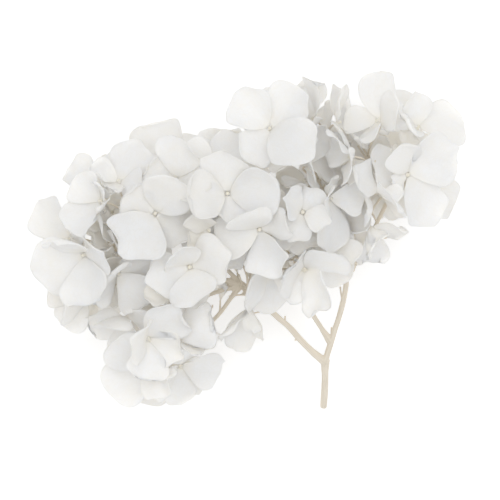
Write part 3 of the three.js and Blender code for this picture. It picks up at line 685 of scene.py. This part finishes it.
class Crowd:
    """The florets made so far, to find out what room is left between them."""

    def __init__(self):
        self.florets, self.trees = [], []

    def add(self, shape, floret):
        self.florets.append(floret)
        self.trees.append(shape.tree())

    def crosses(self, shape, place):
        tree = shape.tree()
        return any(tree.overlap(other) for other in self.near(place))

    def near(self, place):
        return [tree for tree, floret in zip(self.trees, self.florets)
                if np.linalg.norm(floret["hub"] - place) < NEAR]

    def line_is_free(self, path):
        for a, b in zip(path, path[1:]):
            step = Vector(b - a)
            for tree in self.near(a):
                if tree.ray_cast(Vector(a), step.normalized(), step.length)[0] is not None:
                    return False
        return True

    def is_free(self, sepal, place):
        """Whether a sepal touches nothing and stays inside the CAD's box."""
        points, faces = coarse_sheet(sepal)
        low, high = np.array(CAD_BOX) + np.array([[1], [-1]]) * MARGIN
        if (np.array(points) < low).any() or (np.array(points) > high).any():
            return False
        tree = BVHTree.FromPolygons([Vector(p) for p in points], faces)
        return not any(tree.overlap(other) for other in self.near(place))

    def free_sepals(self, floret):
        """A floret's sepals that touch nothing; the search ends where fewer than two can be left."""
        free = []
        for tried, sepal in enumerate(floret["sepals"]):
            if self.is_free(sepal, floret["hub"]):
                free.append(sepal)
            elif tried - len(free) == 2:
                break
        return free

    def room_between(self, a, b, scales, models, rng):
        """A floret between two others, as large as fits in a few tries; sepals without room have dropped."""
        out = a["axis"] + b["axis"]
        out /= max(np.linalg.norm(out), 1e-6)
        for scale in scales:
            for attempt in range(8):
                model = models[rng.integers(len(models))]
                facing = out + rng.normal(size=3) * 0.55
                facing /= np.linalg.norm(facing)
                share = rng.uniform(0.3, 0.7)
                hub = a["hub"] * share + b["hub"] * (1 - share) - out * rng.uniform(0, 12) * MM
                tried = turned(model, hub, facing, rng.uniform(0, 6.28), scale * rng.uniform(0.95, 1.05))
                tried["sepals"] = self.free_sepals(tried)
                if len(tried["sepals"]) > 2 or (len(tried["sepals"]) == 2 and attempt > 5):
                    return tried
        return None


CROWD = Crowd()


# ---------------------------------------------------------------- materials


# Widths of the surface patterns. Those of sepals and bark are coarser than they grow, so that they show.
VEIN_WAVER = MAP_MM / 3.0 * MM
CREASE_WIDTH, CREASE_LENGTH = MAP_MM / 12.6 * MM, MAP_MM / 2.24 * MM
SEPAL_PATCH, STALK_PATCH = MAP_MM / 1.1 * MM, MAP_MM / 0.9 * MM
RIDGE_LENGTH = MAP_MM / 1.1 * MM
SCAR_WIDTH, SCAR_LENGTH = MAP_MM / 7.0 * MM, MAP_MM / 2.4 * MM
BUD_GRAIN, PITH_GRAIN, SHEET_GRAIN = MAP_MM / 24.0 * MM, MAP_MM / 40.0 * MM, 1 / 900.0


def per_map(size):
    """How many of a pattern's cells of this size lie side by side in one unit of the map."""
    return MAP_MM * MM / size


def add_node(tree, kind, inputs, **settings):
    """Adds a shader node with its settings, gives each input its value or a link, and returns the
    node's outputs."""
    made = tree.nodes.new(kind)
    for name, value in settings.items():
        setattr(made, name, value)
    for name, value in inputs.items():
        if isinstance(value, bpy.types.NodeSocket):
            tree.links.new(value, made.inputs[name])
        else:
            made.inputs[name].default_value = value
    return made.outputs


def new_material(name):
    """An empty material, with its node tree and each point's place on the map."""
    material = bpy.data.materials.new(name)
    material.use_nodes = True
    tree = material.node_tree
    tree.nodes.clear()
    return material, tree, add_node(tree, "ShaderNodeUVMap", {}, uv_map="place")[0]


def solid(*colours):
    """Colours with the fourth number that a node's input wants."""
    return [(*values, 1) for values in colours]


def bleached_sepal(sizes, colours):
    """Hydrangea sepal, bleached and kept soft with glycerine: a matt, papery white with a trace of ivory
    that lets some light through. A net of fine veins and creases breaks up its surface."""
    material, tree, place = new_material("bleached_preserved_sepal")
    white, ivory, claw = solid(colours.sepal_white, colours.sepal_ivory_and_inner_shade, colours.sepal_claw)
    tone = add_node(tree, "ShaderNodeAttribute", {}, attribute_name="tone")["Fac"]
    waver = add_node(tree, "ShaderNodeTexNoise", {
        "Vector": place, "Scale": per_map(VEIN_WAVER), "Detail": 2.0})["Color"]
    bent = add_node(tree, "ShaderNodeVectorMath", {0: waver, 1: (0.12, 0.12, 0.0), 2: place},
                    operation="MULTIPLY_ADD")[0]
    # The cells of the net are twice as long as they are wide.
    cells = add_node(tree, "ShaderNodeMapping", {"Vector": bent, "Scale": (1.0, 0.5, 1.0)})[0]
    net = add_node(tree, "ShaderNodeTexVoronoi", {"Vector": cells, "Scale": per_map(sizes.vein_spacing)},
                   feature="DISTANCE_TO_EDGE")["Distance"]
    vein = add_node(tree, "ShaderNodeMapRange", {0: net, 1: 0.0, 2: 0.09, 3: 1.0, 4: 0.0})[0]
    creases = add_node(tree, "ShaderNodeMapping", {
        "Vector": bent, "Scale": (per_map(CREASE_WIDTH), per_map(CREASE_LENGTH), 1.0)})[0]
    crease = add_node(tree, "ShaderNodeTexNoise", {
        "Vector": creases, "Scale": 1.0, "Detail": 4.0, "Roughness": 0.6})["Fac"]
    patch = add_node(tree, "ShaderNodeTexNoise", {
        "Vector": place, "Scale": per_map(SEPAL_PATCH), "Detail": 3.0})["Fac"]
    down = add_node(tree, "ShaderNodeSeparateXYZ", {"Vector": place})["Y"]

    # The tone is random for each sepal but runs higher on the inner florets, so their more ivory colour is in
    # part painted warm shade of the head's deep gaps.
    shade = white
    for measure, low, high, most_at_low, most_at_high, tint in (
            (tone, 0.35, 1.0, 0.0, 0.8, ivory), (patch, 0.42, 0.75, 0.0, 0.4, ivory),
            (down, 0.05, 0.6, 0.7, 0.0, claw), (vein, 0.0, 1.0, 0.0, 0.22, claw)):
        part = add_node(tree, "ShaderNodeMapRange", {
            0: measure, 1: low, 2: high, 3: most_at_low, 4: most_at_high})[0]
        shade = add_node(tree, "ShaderNodeMix", {0: part, 6: shade, 7: tint}, data_type="RGBA")[2]

    height = add_node(tree, "ShaderNodeMath", {0: vein, 1: 0.55, 2: crease}, operation="MULTIPLY_ADD")[0]
    bump = add_node(tree, "ShaderNodeBump", {"Height": height, "Strength": 0.34, "Distance": 0.16 * MM})[0]
    surface = add_node(tree, "ShaderNodeBsdfPrincipled", {
        "Base Color": shade, "Normal": bump, "Roughness": 0.62, "IOR": 1.45, "Specular IOR Level": 0.35,
        "Subsurface Weight": 0.6, "Subsurface Radius": (1.0, 0.88, 0.7), "Subsurface Scale": 1.5 * MM,
        "Sheen Weight": 0.12, "Sheen Roughness": 0.5})[0]
    add_node(tree, "ShaderNodeOutputMaterial", {"Surface": surface})
    return material


def dried_stalk(sizes, colours):
    """Hydrangea stalk, bleached and dried: shrunken bark with fine lengthwise ridges and small scars."""
    material, tree, place = new_material("bleached_dried_stalk")
    pale, dark = solid(colours.stalk_pale, colours.stalk_dark)
    tone = add_node(tree, "ShaderNodeAttribute", {}, attribute_name="tone")["Fac"]
    ridges = add_node(tree, "ShaderNodeMapping", {
        "Vector": place, "Scale": (per_map(sizes.ridge_spacing), per_map(RIDGE_LENGTH), 1.0)})[0]
    ridge = add_node(tree, "ShaderNodeTexNoise", {
        "Vector": ridges, "Scale": 1.0, "Detail": 3.0, "Roughness": 0.55})["Fac"]
    scars = add_node(tree, "ShaderNodeMapping", {
        "Vector": place, "Scale": (per_map(SCAR_WIDTH), per_map(SCAR_LENGTH), 1.0)})[0]
    from_scar = add_node(tree, "ShaderNodeTexVoronoi", {
        "Vector": scars, "Scale": 1.0, "Randomness": 1.0})["Distance"]
    scar = add_node(tree, "ShaderNodeMapRange", {0: from_scar, 1: 0.05, 2: 0.18, 3: 1.0, 4: 0.0})[0]
    patch = add_node(tree, "ShaderNodeTexNoise", {
        "Vector": place, "Scale": per_map(STALK_PATCH), "Detail": 3.0})["Fac"]

    shade = pale
    for measure, low, high, most_at_low, most_at_high, tint in (
            (ridge, 0.35, 0.7, 0.75, 0.0, dark), (tone, 0.0, 1.0, 0.0, 0.35, pale),
            (patch, 0.5, 0.8, 0.0, 0.45, dark), (scar, 0.0, 1.0, 0.0, 0.5, dark)):
        part = add_node(tree, "ShaderNodeMapRange", {
            0: measure, 1: low, 2: high, 3: most_at_low, 4: most_at_high})[0]
        shade = add_node(tree, "ShaderNodeMix", {0: part, 6: shade, 7: tint}, data_type="RGBA")[2]

    height = add_node(tree, "ShaderNodeMath", {0: scar, 1: -0.4, 2: ridge}, operation="MULTIPLY_ADD")[0]
    bump = add_node(tree, "ShaderNodeBump", {"Height": height, "Strength": 0.7, "Distance": 0.25 * MM})[0]
    surface = add_node(tree, "ShaderNodeBsdfPrincipled", {
        "Base Color": shade, "Normal": bump, "Roughness": 0.78, "IOR": 1.47, "Specular IOR Level": 0.3})[0]
    add_node(tree, "ShaderNodeOutputMaterial", {"Surface": surface})
    return material


def closed_bud(colours):
    """Closed hydrangea bud: waxy, greenish cream, a little darker towards the top of its small petals."""
    material, tree, place = new_material("preserved_closed_bud")
    cream, tip = solid(colours.bud_cream, colours.bud_tip)
    up = add_node(tree, "ShaderNodeSeparateXYZ", {"Vector": place})["Y"]
    top = add_node(tree, "ShaderNodeMapRange", {0: up, 1: 0.12, 2: 0.19})[0]
    grain = add_node(tree, "ShaderNodeTexNoise", {
        "Vector": place, "Scale": per_map(BUD_GRAIN), "Detail": 3.0})["Fac"]
    spots = add_node(tree, "ShaderNodeMapRange", {0: grain, 1: 0.45, 2: 0.75, 3: 0.0, 4: 0.35})[0]
    tipped = add_node(tree, "ShaderNodeMix", {0: top, 6: cream, 7: tip}, data_type="RGBA")[2]
    grainy = add_node(tree, "ShaderNodeMix", {0: spots, 6: tipped, 7: tip}, data_type="RGBA")[2]
    bump = add_node(tree, "ShaderNodeBump", {"Height": grain, "Strength": 0.4, "Distance": 0.1 * MM})[0]
    surface = add_node(tree, "ShaderNodeBsdfPrincipled", {
        "Base Color": grainy, "Normal": bump, "Roughness": 0.55, "IOR": 1.45, "Subsurface Weight": 0.3,
        "Subsurface Radius": (1.0, 0.9, 0.6), "Subsurface Scale": 0.8 * MM})[0]
    add_node(tree, "ShaderNodeOutputMaterial", {"Surface": surface})
    return material


def cut_pith(colours):
    """Cut end of the stem: a soft pale pith inside a ring of fibrous wood."""
    material, tree, place = new_material("cut_stem_pith")
    pith, wood, pale = solid(colours.pith, colours.stalk_dark, colours.stalk_pale)
    out = add_node(tree, "ShaderNodeSeparateXYZ", {"Vector": place})["Y"]
    ring = add_node(tree, "ShaderNodeMapRange", {0: out, 1: 0.07, 2: 0.12})[0]
    grain = add_node(tree, "ShaderNodeTexNoise", {
        "Vector": place, "Scale": per_map(PITH_GRAIN), "Detail": 4.0})["Fac"]
    fibres = add_node(tree, "ShaderNodeMapRange", {0: grain, 1: 0.4, 2: 0.7, 3: 0.0, 4: 0.5})[0]
    ringed = add_node(tree, "ShaderNodeMix", {0: ring, 6: pith, 7: wood}, data_type="RGBA")[2]
    grainy = add_node(tree, "ShaderNodeMix", {0: fibres, 6: ringed, 7: pale}, data_type="RGBA")[2]
    bump = add_node(tree, "ShaderNodeBump", {"Height": grain, "Strength": 0.6, "Distance": 0.2 * MM})[0]
    surface = add_node(tree, "ShaderNodeBsdfPrincipled", {
        "Base Color": grainy, "Normal": bump, "Roughness": 0.85, "IOR": 1.47})[0]
    add_node(tree, "ShaderNodeOutputMaterial", {"Surface": surface})
    return material


def light_table(colours):
    """Matt white acrylic that is lit from below: it keeps the ground white and lightens all shadows."""
    material = bpy.data.materials.new("backlit_matt_acrylic")
    material.use_nodes = True
    tree = material.node_tree
    tree.nodes.clear()
    white, grey = solid(colours.floor, linear("#E8E8E8"))
    where = add_node(tree, "ShaderNodeTexCoord", {})["Object"]
    grain = add_node(tree, "ShaderNodeTexNoise", {
        "Vector": where, "Scale": 1 / SHEET_GRAIN, "Detail": 2.0})["Fac"]
    specks = add_node(tree, "ShaderNodeMapRange", {0: grain, 1: 0.3, 2: 0.7, 3: 0.0, 4: 0.03})[0]
    shade = add_node(tree, "ShaderNodeMix", {0: specks, 6: white, 7: grey}, data_type="RGBA")[2]
    surface = add_node(tree, "ShaderNodeBsdfPrincipled", {
        "Base Color": shade, "Emission Color": shade, "Roughness": 0.9, "Specular IOR Level": 0.1,
        "Emission Strength": 0.34})[0]
    add_node(tree, "ShaderNodeOutputMaterial", {"Surface": surface})
    return material


def flower_materials():
    scene = bpy.context.scene
    if "bleached_preserved_sepal" not in bpy.data.materials:
        bleached_sepal(scene.hydrangea_sizes, scene.hydrangea_colours)
        dried_stalk(scene.hydrangea_sizes, scene.hydrangea_colours)
        closed_bud(scene.hydrangea_colours)
    names = ("bleached_preserved_sepal", "bleached_dried_stalk", "preserved_closed_bud")
    return [bpy.data.materials[name] for name in names]


# ---------------------------------------------------------------- operators

# Melting and softening take a little off the stalks, which this puts back.
MELT_ALLOWANCE = 1.08
STEM_SIDES, STEM_TONE = 14, 0.3


class HYDRANGEA_OT_stems(bpy.types.Operator):
    """Melt the CAD stems into one grown stalk with smooth forks, ridged bark and a cut end"""

    bl_idname = "hydrangea.stems"
    bl_label = "Stems"

    def execute(self, context):
        sizes = context.scene.hydrangea_sizes
        shape = Shape()
        for name in STEM_NODES:
            line, radii = smooth_stem(name)
            add_tube(shape, line, radii * MELT_ALLOWANCE, STEM_SIDES, STEM_TONE)
        mesh = bpy.data.meshes.new("tubes")
        mesh.from_pydata(np.vstack(shape.points).tolist(), [], shape.faces)
        piece = bpy.data.objects.new("stem", mesh)
        context.scene.collection.objects.link(piece)
        remesh = piece.modifiers.new("Melt", "REMESH")
        remesh.mode = "VOXEL"
        remesh.voxel_size = sizes.stem_voxel
        smooth = piece.modifiers.new("Soften", "SMOOTH")
        smooth.factor, smooth.iterations = 0.5, 5
        graph = context.evaluated_depsgraph_get()
        final = bpy.data.meshes.new_from_object(piece.evaluated_get(graph))
        piece.modifiers.clear()
        piece.data = final
        self.dress(piece, context)
        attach(piece, "root")
        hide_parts(*STEM_NODES)
        return {"FINISHED"}

    def dress(self, piece, context):
        """Lays the bark's map along the stalks, adds its ridges, and marks the cut end."""
        mesh = piece.data
        lines = [smooth_stem(name)[0] for name in STEM_NODES]
        samples = np.vstack(lines)
        normals, others = (np.vstack(part) for part in zip(*(frames_along(line) for line in lines)))
        reach = np.concatenate([reach_along(line) + 37 * MM * k for k, line in enumerate(lines)])
        nearest = point_tree(samples)
        count = len(mesh.vertices)
        points = np.zeros(count * 3)
        mesh.vertices.foreach_get("co", points)
        points = points.reshape(-1, 3)
        places = np.zeros((count, 2))
        for i, point in enumerate(points):
            k = nearest.find(point)[1]
            away = point - samples[k]
            x, y = away @ normals[k], away @ others[k]
            angle = math.atan2(y, x)
            ridge = 0.04 * math.cos(6 * angle) + 0.1 * noise.noise(
                (x / MM * 1.5, y / MM * 1.5, reach[k] / MM * 0.22))
            points[i] = point + (x * normals[k] + y * others[k]) * ridge
            places[i] = (angle * 1.2, reach[k] / MM)
        points[:, 2] = np.maximum(points[:, 2], CAD_BOX[0][2] + 0.05 * MM)
        mesh.vertices.foreach_set("co", points.ravel())
        corners = lay_map(mesh, places, np.full(count, STEM_TONE))
        mesh.materials.clear()
        mesh.materials.append(flower_materials()[STALK])
        mesh.materials.append(cut_pith(context.scene.hydrangea_colours))
        mesh.update()
        self.mark_cut(mesh, points, corners)

    def mark_cut(self, mesh, points, corners):
        """Gives the cut end its pith, with a map that runs round and out from its middle."""
        layer = mesh.uv_layers["place"]
        main = stem_line("main_stem")[0]
        down = (main[0] - main[1]) / np.linalg.norm(main[0] - main[1])
        foot = max((points - main[0]) @ down)
        for polygon in mesh.polygons:
            polygon.use_smooth = True
            centre = np.array(polygon.center)
            if (centre - main[0]) @ down > foot - 0.4 * MM and np.array(polygon.normal) @ down > 0.6:
                polygon.material_index = 1
                for loop in polygon.loop_indices:
                    away = points[corners[loop]] - main[0]
                    away = away - (away @ down) * down
                    layer.data[loop].uv = (math.atan2(away[1], away[0]), np.linalg.norm(away) / MM / MAP_MM)


class HYDRANGEA_OT_florets(bpy.types.Operator):
    """Replace each CAD floret by a papery one: four sepals, a closed bud and its stalk"""

    bl_idname = "hydrangea.florets"
    bl_label = "Florets"

    def execute(self, context):
        sizes = context.scene.hydrangea_sizes
        for number, name in enumerate(FLORET_NODES):
            shape, floret, rng = Shape(), read_floret(name), np.random.default_rng(1000 + number)
            open_floret(floret, rng)
            for sepal in floret["sepals"]:
                add_sepal(shape, sepal, sizes, rng, rng.uniform(0, 0.6))
            add_bud(shape, floret, sizes, rng)
            add_pedicel(shape, floret, sizes, rng)
            shape.build(name.replace("floret", "papery_floret"), flower_materials(), [name])
            CROWD.add(shape, floret)
        return {"FINISHED"}


class HYDRANGEA_OT_inner_florets(bpy.types.Operator):
    """Fill the gaps of the head with smaller florets that had less room to open"""

    bl_idname = "hydrangea.inner_florets"
    bl_label = "Inner Florets"

    def execute(self, context):
        sizes = context.scene.hydrangea_sizes
        rng = np.random.default_rng(77)
        models = [read_floret(name) for name in FLORET_NODES[::5]]
        for model in models:
            open_floret(model, rng)
        stems = np.vstack([smooth_stem(name)[0] for name in STEM_NODES])
        rounds = ((0.95, 0.85, 0.75, 0.65), (0.7, 0.55))
        pairs = ((a, b, scales) for scales in rounds for a, b in neighbours(CROWD.florets, rng))
        made = 0
        for a, b, scales in pairs:
            found = CROWD.room_between(a, b, scales, models, rng)
            if found is None:
                continue
            shape = Shape()
            for sepal in found["sepals"]:
                # Inner florets take higher tones than the outer ones, and so more ivory. This is random tone,
                # and in part painted warm shade deep in the head.
                add_sepal(shape, sepal, sizes, rng, rng.uniform(0.55, 1.0))
            if CROWD.crosses(shape, found["hub"]):
                continue
            lead_to_stem(found, stems)
            add_bud(shape, found, sizes, rng)
            add_pedicel(shape, found, sizes, rng)
            shape.build(f"inner_floret_{made:02d}", flower_materials())
            CROWD.add(shape, found)
            made += 1
            if made == sizes.inner_florets:
                break
        return {"FINISHED"}


class HYDRANGEA_OT_twigs(bpy.types.Operator):
    """Grow the bare stalks and broken stubs whose florets fell off"""

    bl_idname = "hydrangea.twigs"
    bl_label = "Bare Twigs"

    def execute(self, context):
        sizes = context.scene.hydrangea_sizes
        rng = np.random.default_rng(5)
        shape = Shape()
        for name in STEM_NODES:
            if name == "main_stem":
                continue
            line = smooth_stem(name)[0]
            for share in TWIG_PLACES + (FORK_TWIGS if name == "left_branch" else ()):
                stub = name.endswith("branch") and share < 0.55
                self.grow(shape, line, int(share * (len(line) - 1)), stub, sizes, rng)
        shape.build("bare_twigs", flower_materials(), slot=STALK)
        return {"FINISHED"}

    def grow(self, shape, line, at, stub, sizes, rng):
        """The first free direction of a dozen tries, with the knob of the broken joint at its end."""
        along = line[min(at + 1, len(line) - 1)] - line[max(at - 1, 0)]
        along /= np.linalg.norm(along)
        for _ in range(12):
            away = rng.normal(size=3)
            away -= (away @ along) * along
            away = away / np.linalg.norm(away) + along * rng.uniform(0.5, 1.6)
            away /= np.linalg.norm(away)
            reach = rng.uniform(2.5, 4.5) * MM if stub else rng.uniform(6, 16) * MM
            bow = np.cross(away, along) * rng.uniform(-0.18, 0.18) * reach
            knots = [line[at], line[at] + away * reach * 0.5 + bow, line[at] + away * reach]
            path = through(knots, np.linspace(0, 2, TWIG_RINGS))
            if path[:, 2].min() < CAD_BOX[0][2] + MARGIN:
                continue
            if CROWD.line_is_free(path[2:]):
                radii = sizes.twig / 2 * np.linspace(1.15, 0.8, TWIG_RINGS)
                radii[0] *= 1.5
                radii[-3:] *= np.array([1.15, 1.4, 1.1])
                add_tube(shape, path, radii, 10, rng.random(), wobble=0.18, seed=rng.uniform(0, 99))
                if not stub and rng.random() < 0.35:
                    last = withered_sepal(path, rng)
                    if CROWD.is_free(last, path[-1]):
                        add_sepal(shape, last, sizes, rng, 0.3)
                return


class HYDRANGEA_OT_stage(bpy.types.Operator):
    """Lay the flower on a white light table under soft lamps, and set the camera above it"""

    bl_idname = "hydrangea.stage"
    bl_label = "Stage"

    def execute(self, context):
        scene = context.scene
        low, high = (Vector(corner) for corner in CAD_BOX)
        middle = (low + high) / 2
        floor = self.floor(scene, low.z)
        self.lamp(scene, "overhead_softbox", (-0.12, 0.3, 2.4), middle, 2.4, 30.8, (1.0, 0.992, 0.98))
        self.lamp(scene, "side_softbox", (1.5, -0.5, 1.6), middle, 1.6, 5.0, (0.97, 0.985, 1.0))
        world = bpy.data.worlds.new("soft_daylight")
        world.use_nodes = True
        world.node_tree.nodes["Background"].inputs[0].default_value = (0.965, 0.98, 1.0, 1)
        world.node_tree.nodes["Background"].inputs[1].default_value = 0.46
        scene.world = world
        # A high-key print: the whites stay white and the shadows are opened a little.
        scene.view_settings.view_transform = "Standard"
        scene.view_settings.gamma = 1.45
        camera = bpy.data.objects.new("camera", bpy.data.cameras.new("camera"))
        scene.collection.objects.link(camera)
        # Straight above, 1.6 m from the flower's middle, with a field 500/437 times as wide as the flower,
        # moved by a few five-hundredths of that field.
        distance, field = 1.6, (high.x - low.x) * 500 / 437
        camera.data.sensor_width = 36
        camera.data.lens = 36 * distance / field
        step = field / 500
        camera.location = (middle.x + 3.5 * step, middle.y - 7 * step, middle.z + distance)
        camera.data.clip_end = 20
        scene.camera = camera
        return {"FINISHED"}

    def floor(self, scene, height):
        mesh = bpy.data.meshes.new("floor")
        rings, sides = 12, 48
        points = [(0, 0, height)]
        for ring in range(1, rings + 1):
            reach = 4.0 * (ring / rings) ** 2
            for i in range(sides):
                angle = i / sides * 2 * math.pi
                points.append((reach * math.cos(angle), reach * math.sin(angle), height))
        faces = [(0, 1 + i, 1 + (i + 1) % sides) for i in range(sides)]
        for ring in range(rings - 1):
            for i in range(sides):
                a, b = 1 + ring * sides + i, 1 + ring * sides + (i + 1) % sides
                faces.append((a, a + sides, b + sides, b))
        mesh.from_pydata(points, [], faces)
        mesh.materials.append(light_table(scene.hydrangea_colours))
        floor = bpy.data.objects.new("floor", mesh)
        scene.collection.objects.link(floor)
        return floor

    def lamp(self, scene, name, place, target, size, power, tint):
        light = bpy.data.lights.new(name, "AREA")
        light.shape, light.size, light.energy, light.color = "DISK", size, power, tint
        lamp = bpy.data.objects.new(name, light)
        lamp.location = place
        lamp.rotation_euler = (target - Vector(place)).to_track_quat("-Z", "Y").to_euler()
        scene.collection.objects.link(lamp)


OPERATORS = (
    HYDRANGEA_OT_stems, HYDRANGEA_OT_florets, HYDRANGEA_OT_inner_florets, HYDRANGEA_OT_twigs,
    HYDRANGEA_OT_stage)


class HYDRANGEA_PT_panel(bpy.types.Panel):
    """Everything that makes the dried hydrangea"""

    bl_label = "Dried Hydrangea"
    bl_idname = "HYDRANGEA_PT_panel"
    bl_space_type = "VIEW_3D"
    bl_region_type = "UI"
    bl_category = "Hydrangea"

    def draw(self, context):
        for group in (context.scene.hydrangea_sizes, context.scene.hydrangea_colours):
            box = self.layout.box()
            for name in group.__annotations__:
                box.prop(group, name)
        for operator in OPERATORS:
            self.layout.operator(operator.bl_idname)


CLASSES = (HydrangeaSizes, HydrangeaColours, *OPERATORS, HYDRANGEA_PT_panel)


def register():
    for cls in CLASSES:
        bpy.utils.register_class(cls)
    bpy.types.Scene.hydrangea_sizes = bpy.props.PointerProperty(type=HydrangeaSizes)
    bpy.types.Scene.hydrangea_colours = bpy.props.PointerProperty(type=HydrangeaColours)


def unregister():
    del bpy.types.Scene.hydrangea_colours
    del bpy.types.Scene.hydrangea_sizes
    for cls in reversed(CLASSES):
        bpy.utils.unregister_class(cls)


def main():
    register()
    bpy.ops.hydrangea.stems()
    bpy.ops.hydrangea.florets()
    bpy.ops.hydrangea.inner_florets()
    bpy.ops.hydrangea.twigs()
    bpy.ops.hydrangea.stage()
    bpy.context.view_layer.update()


if __name__ == "__main__":
    main()
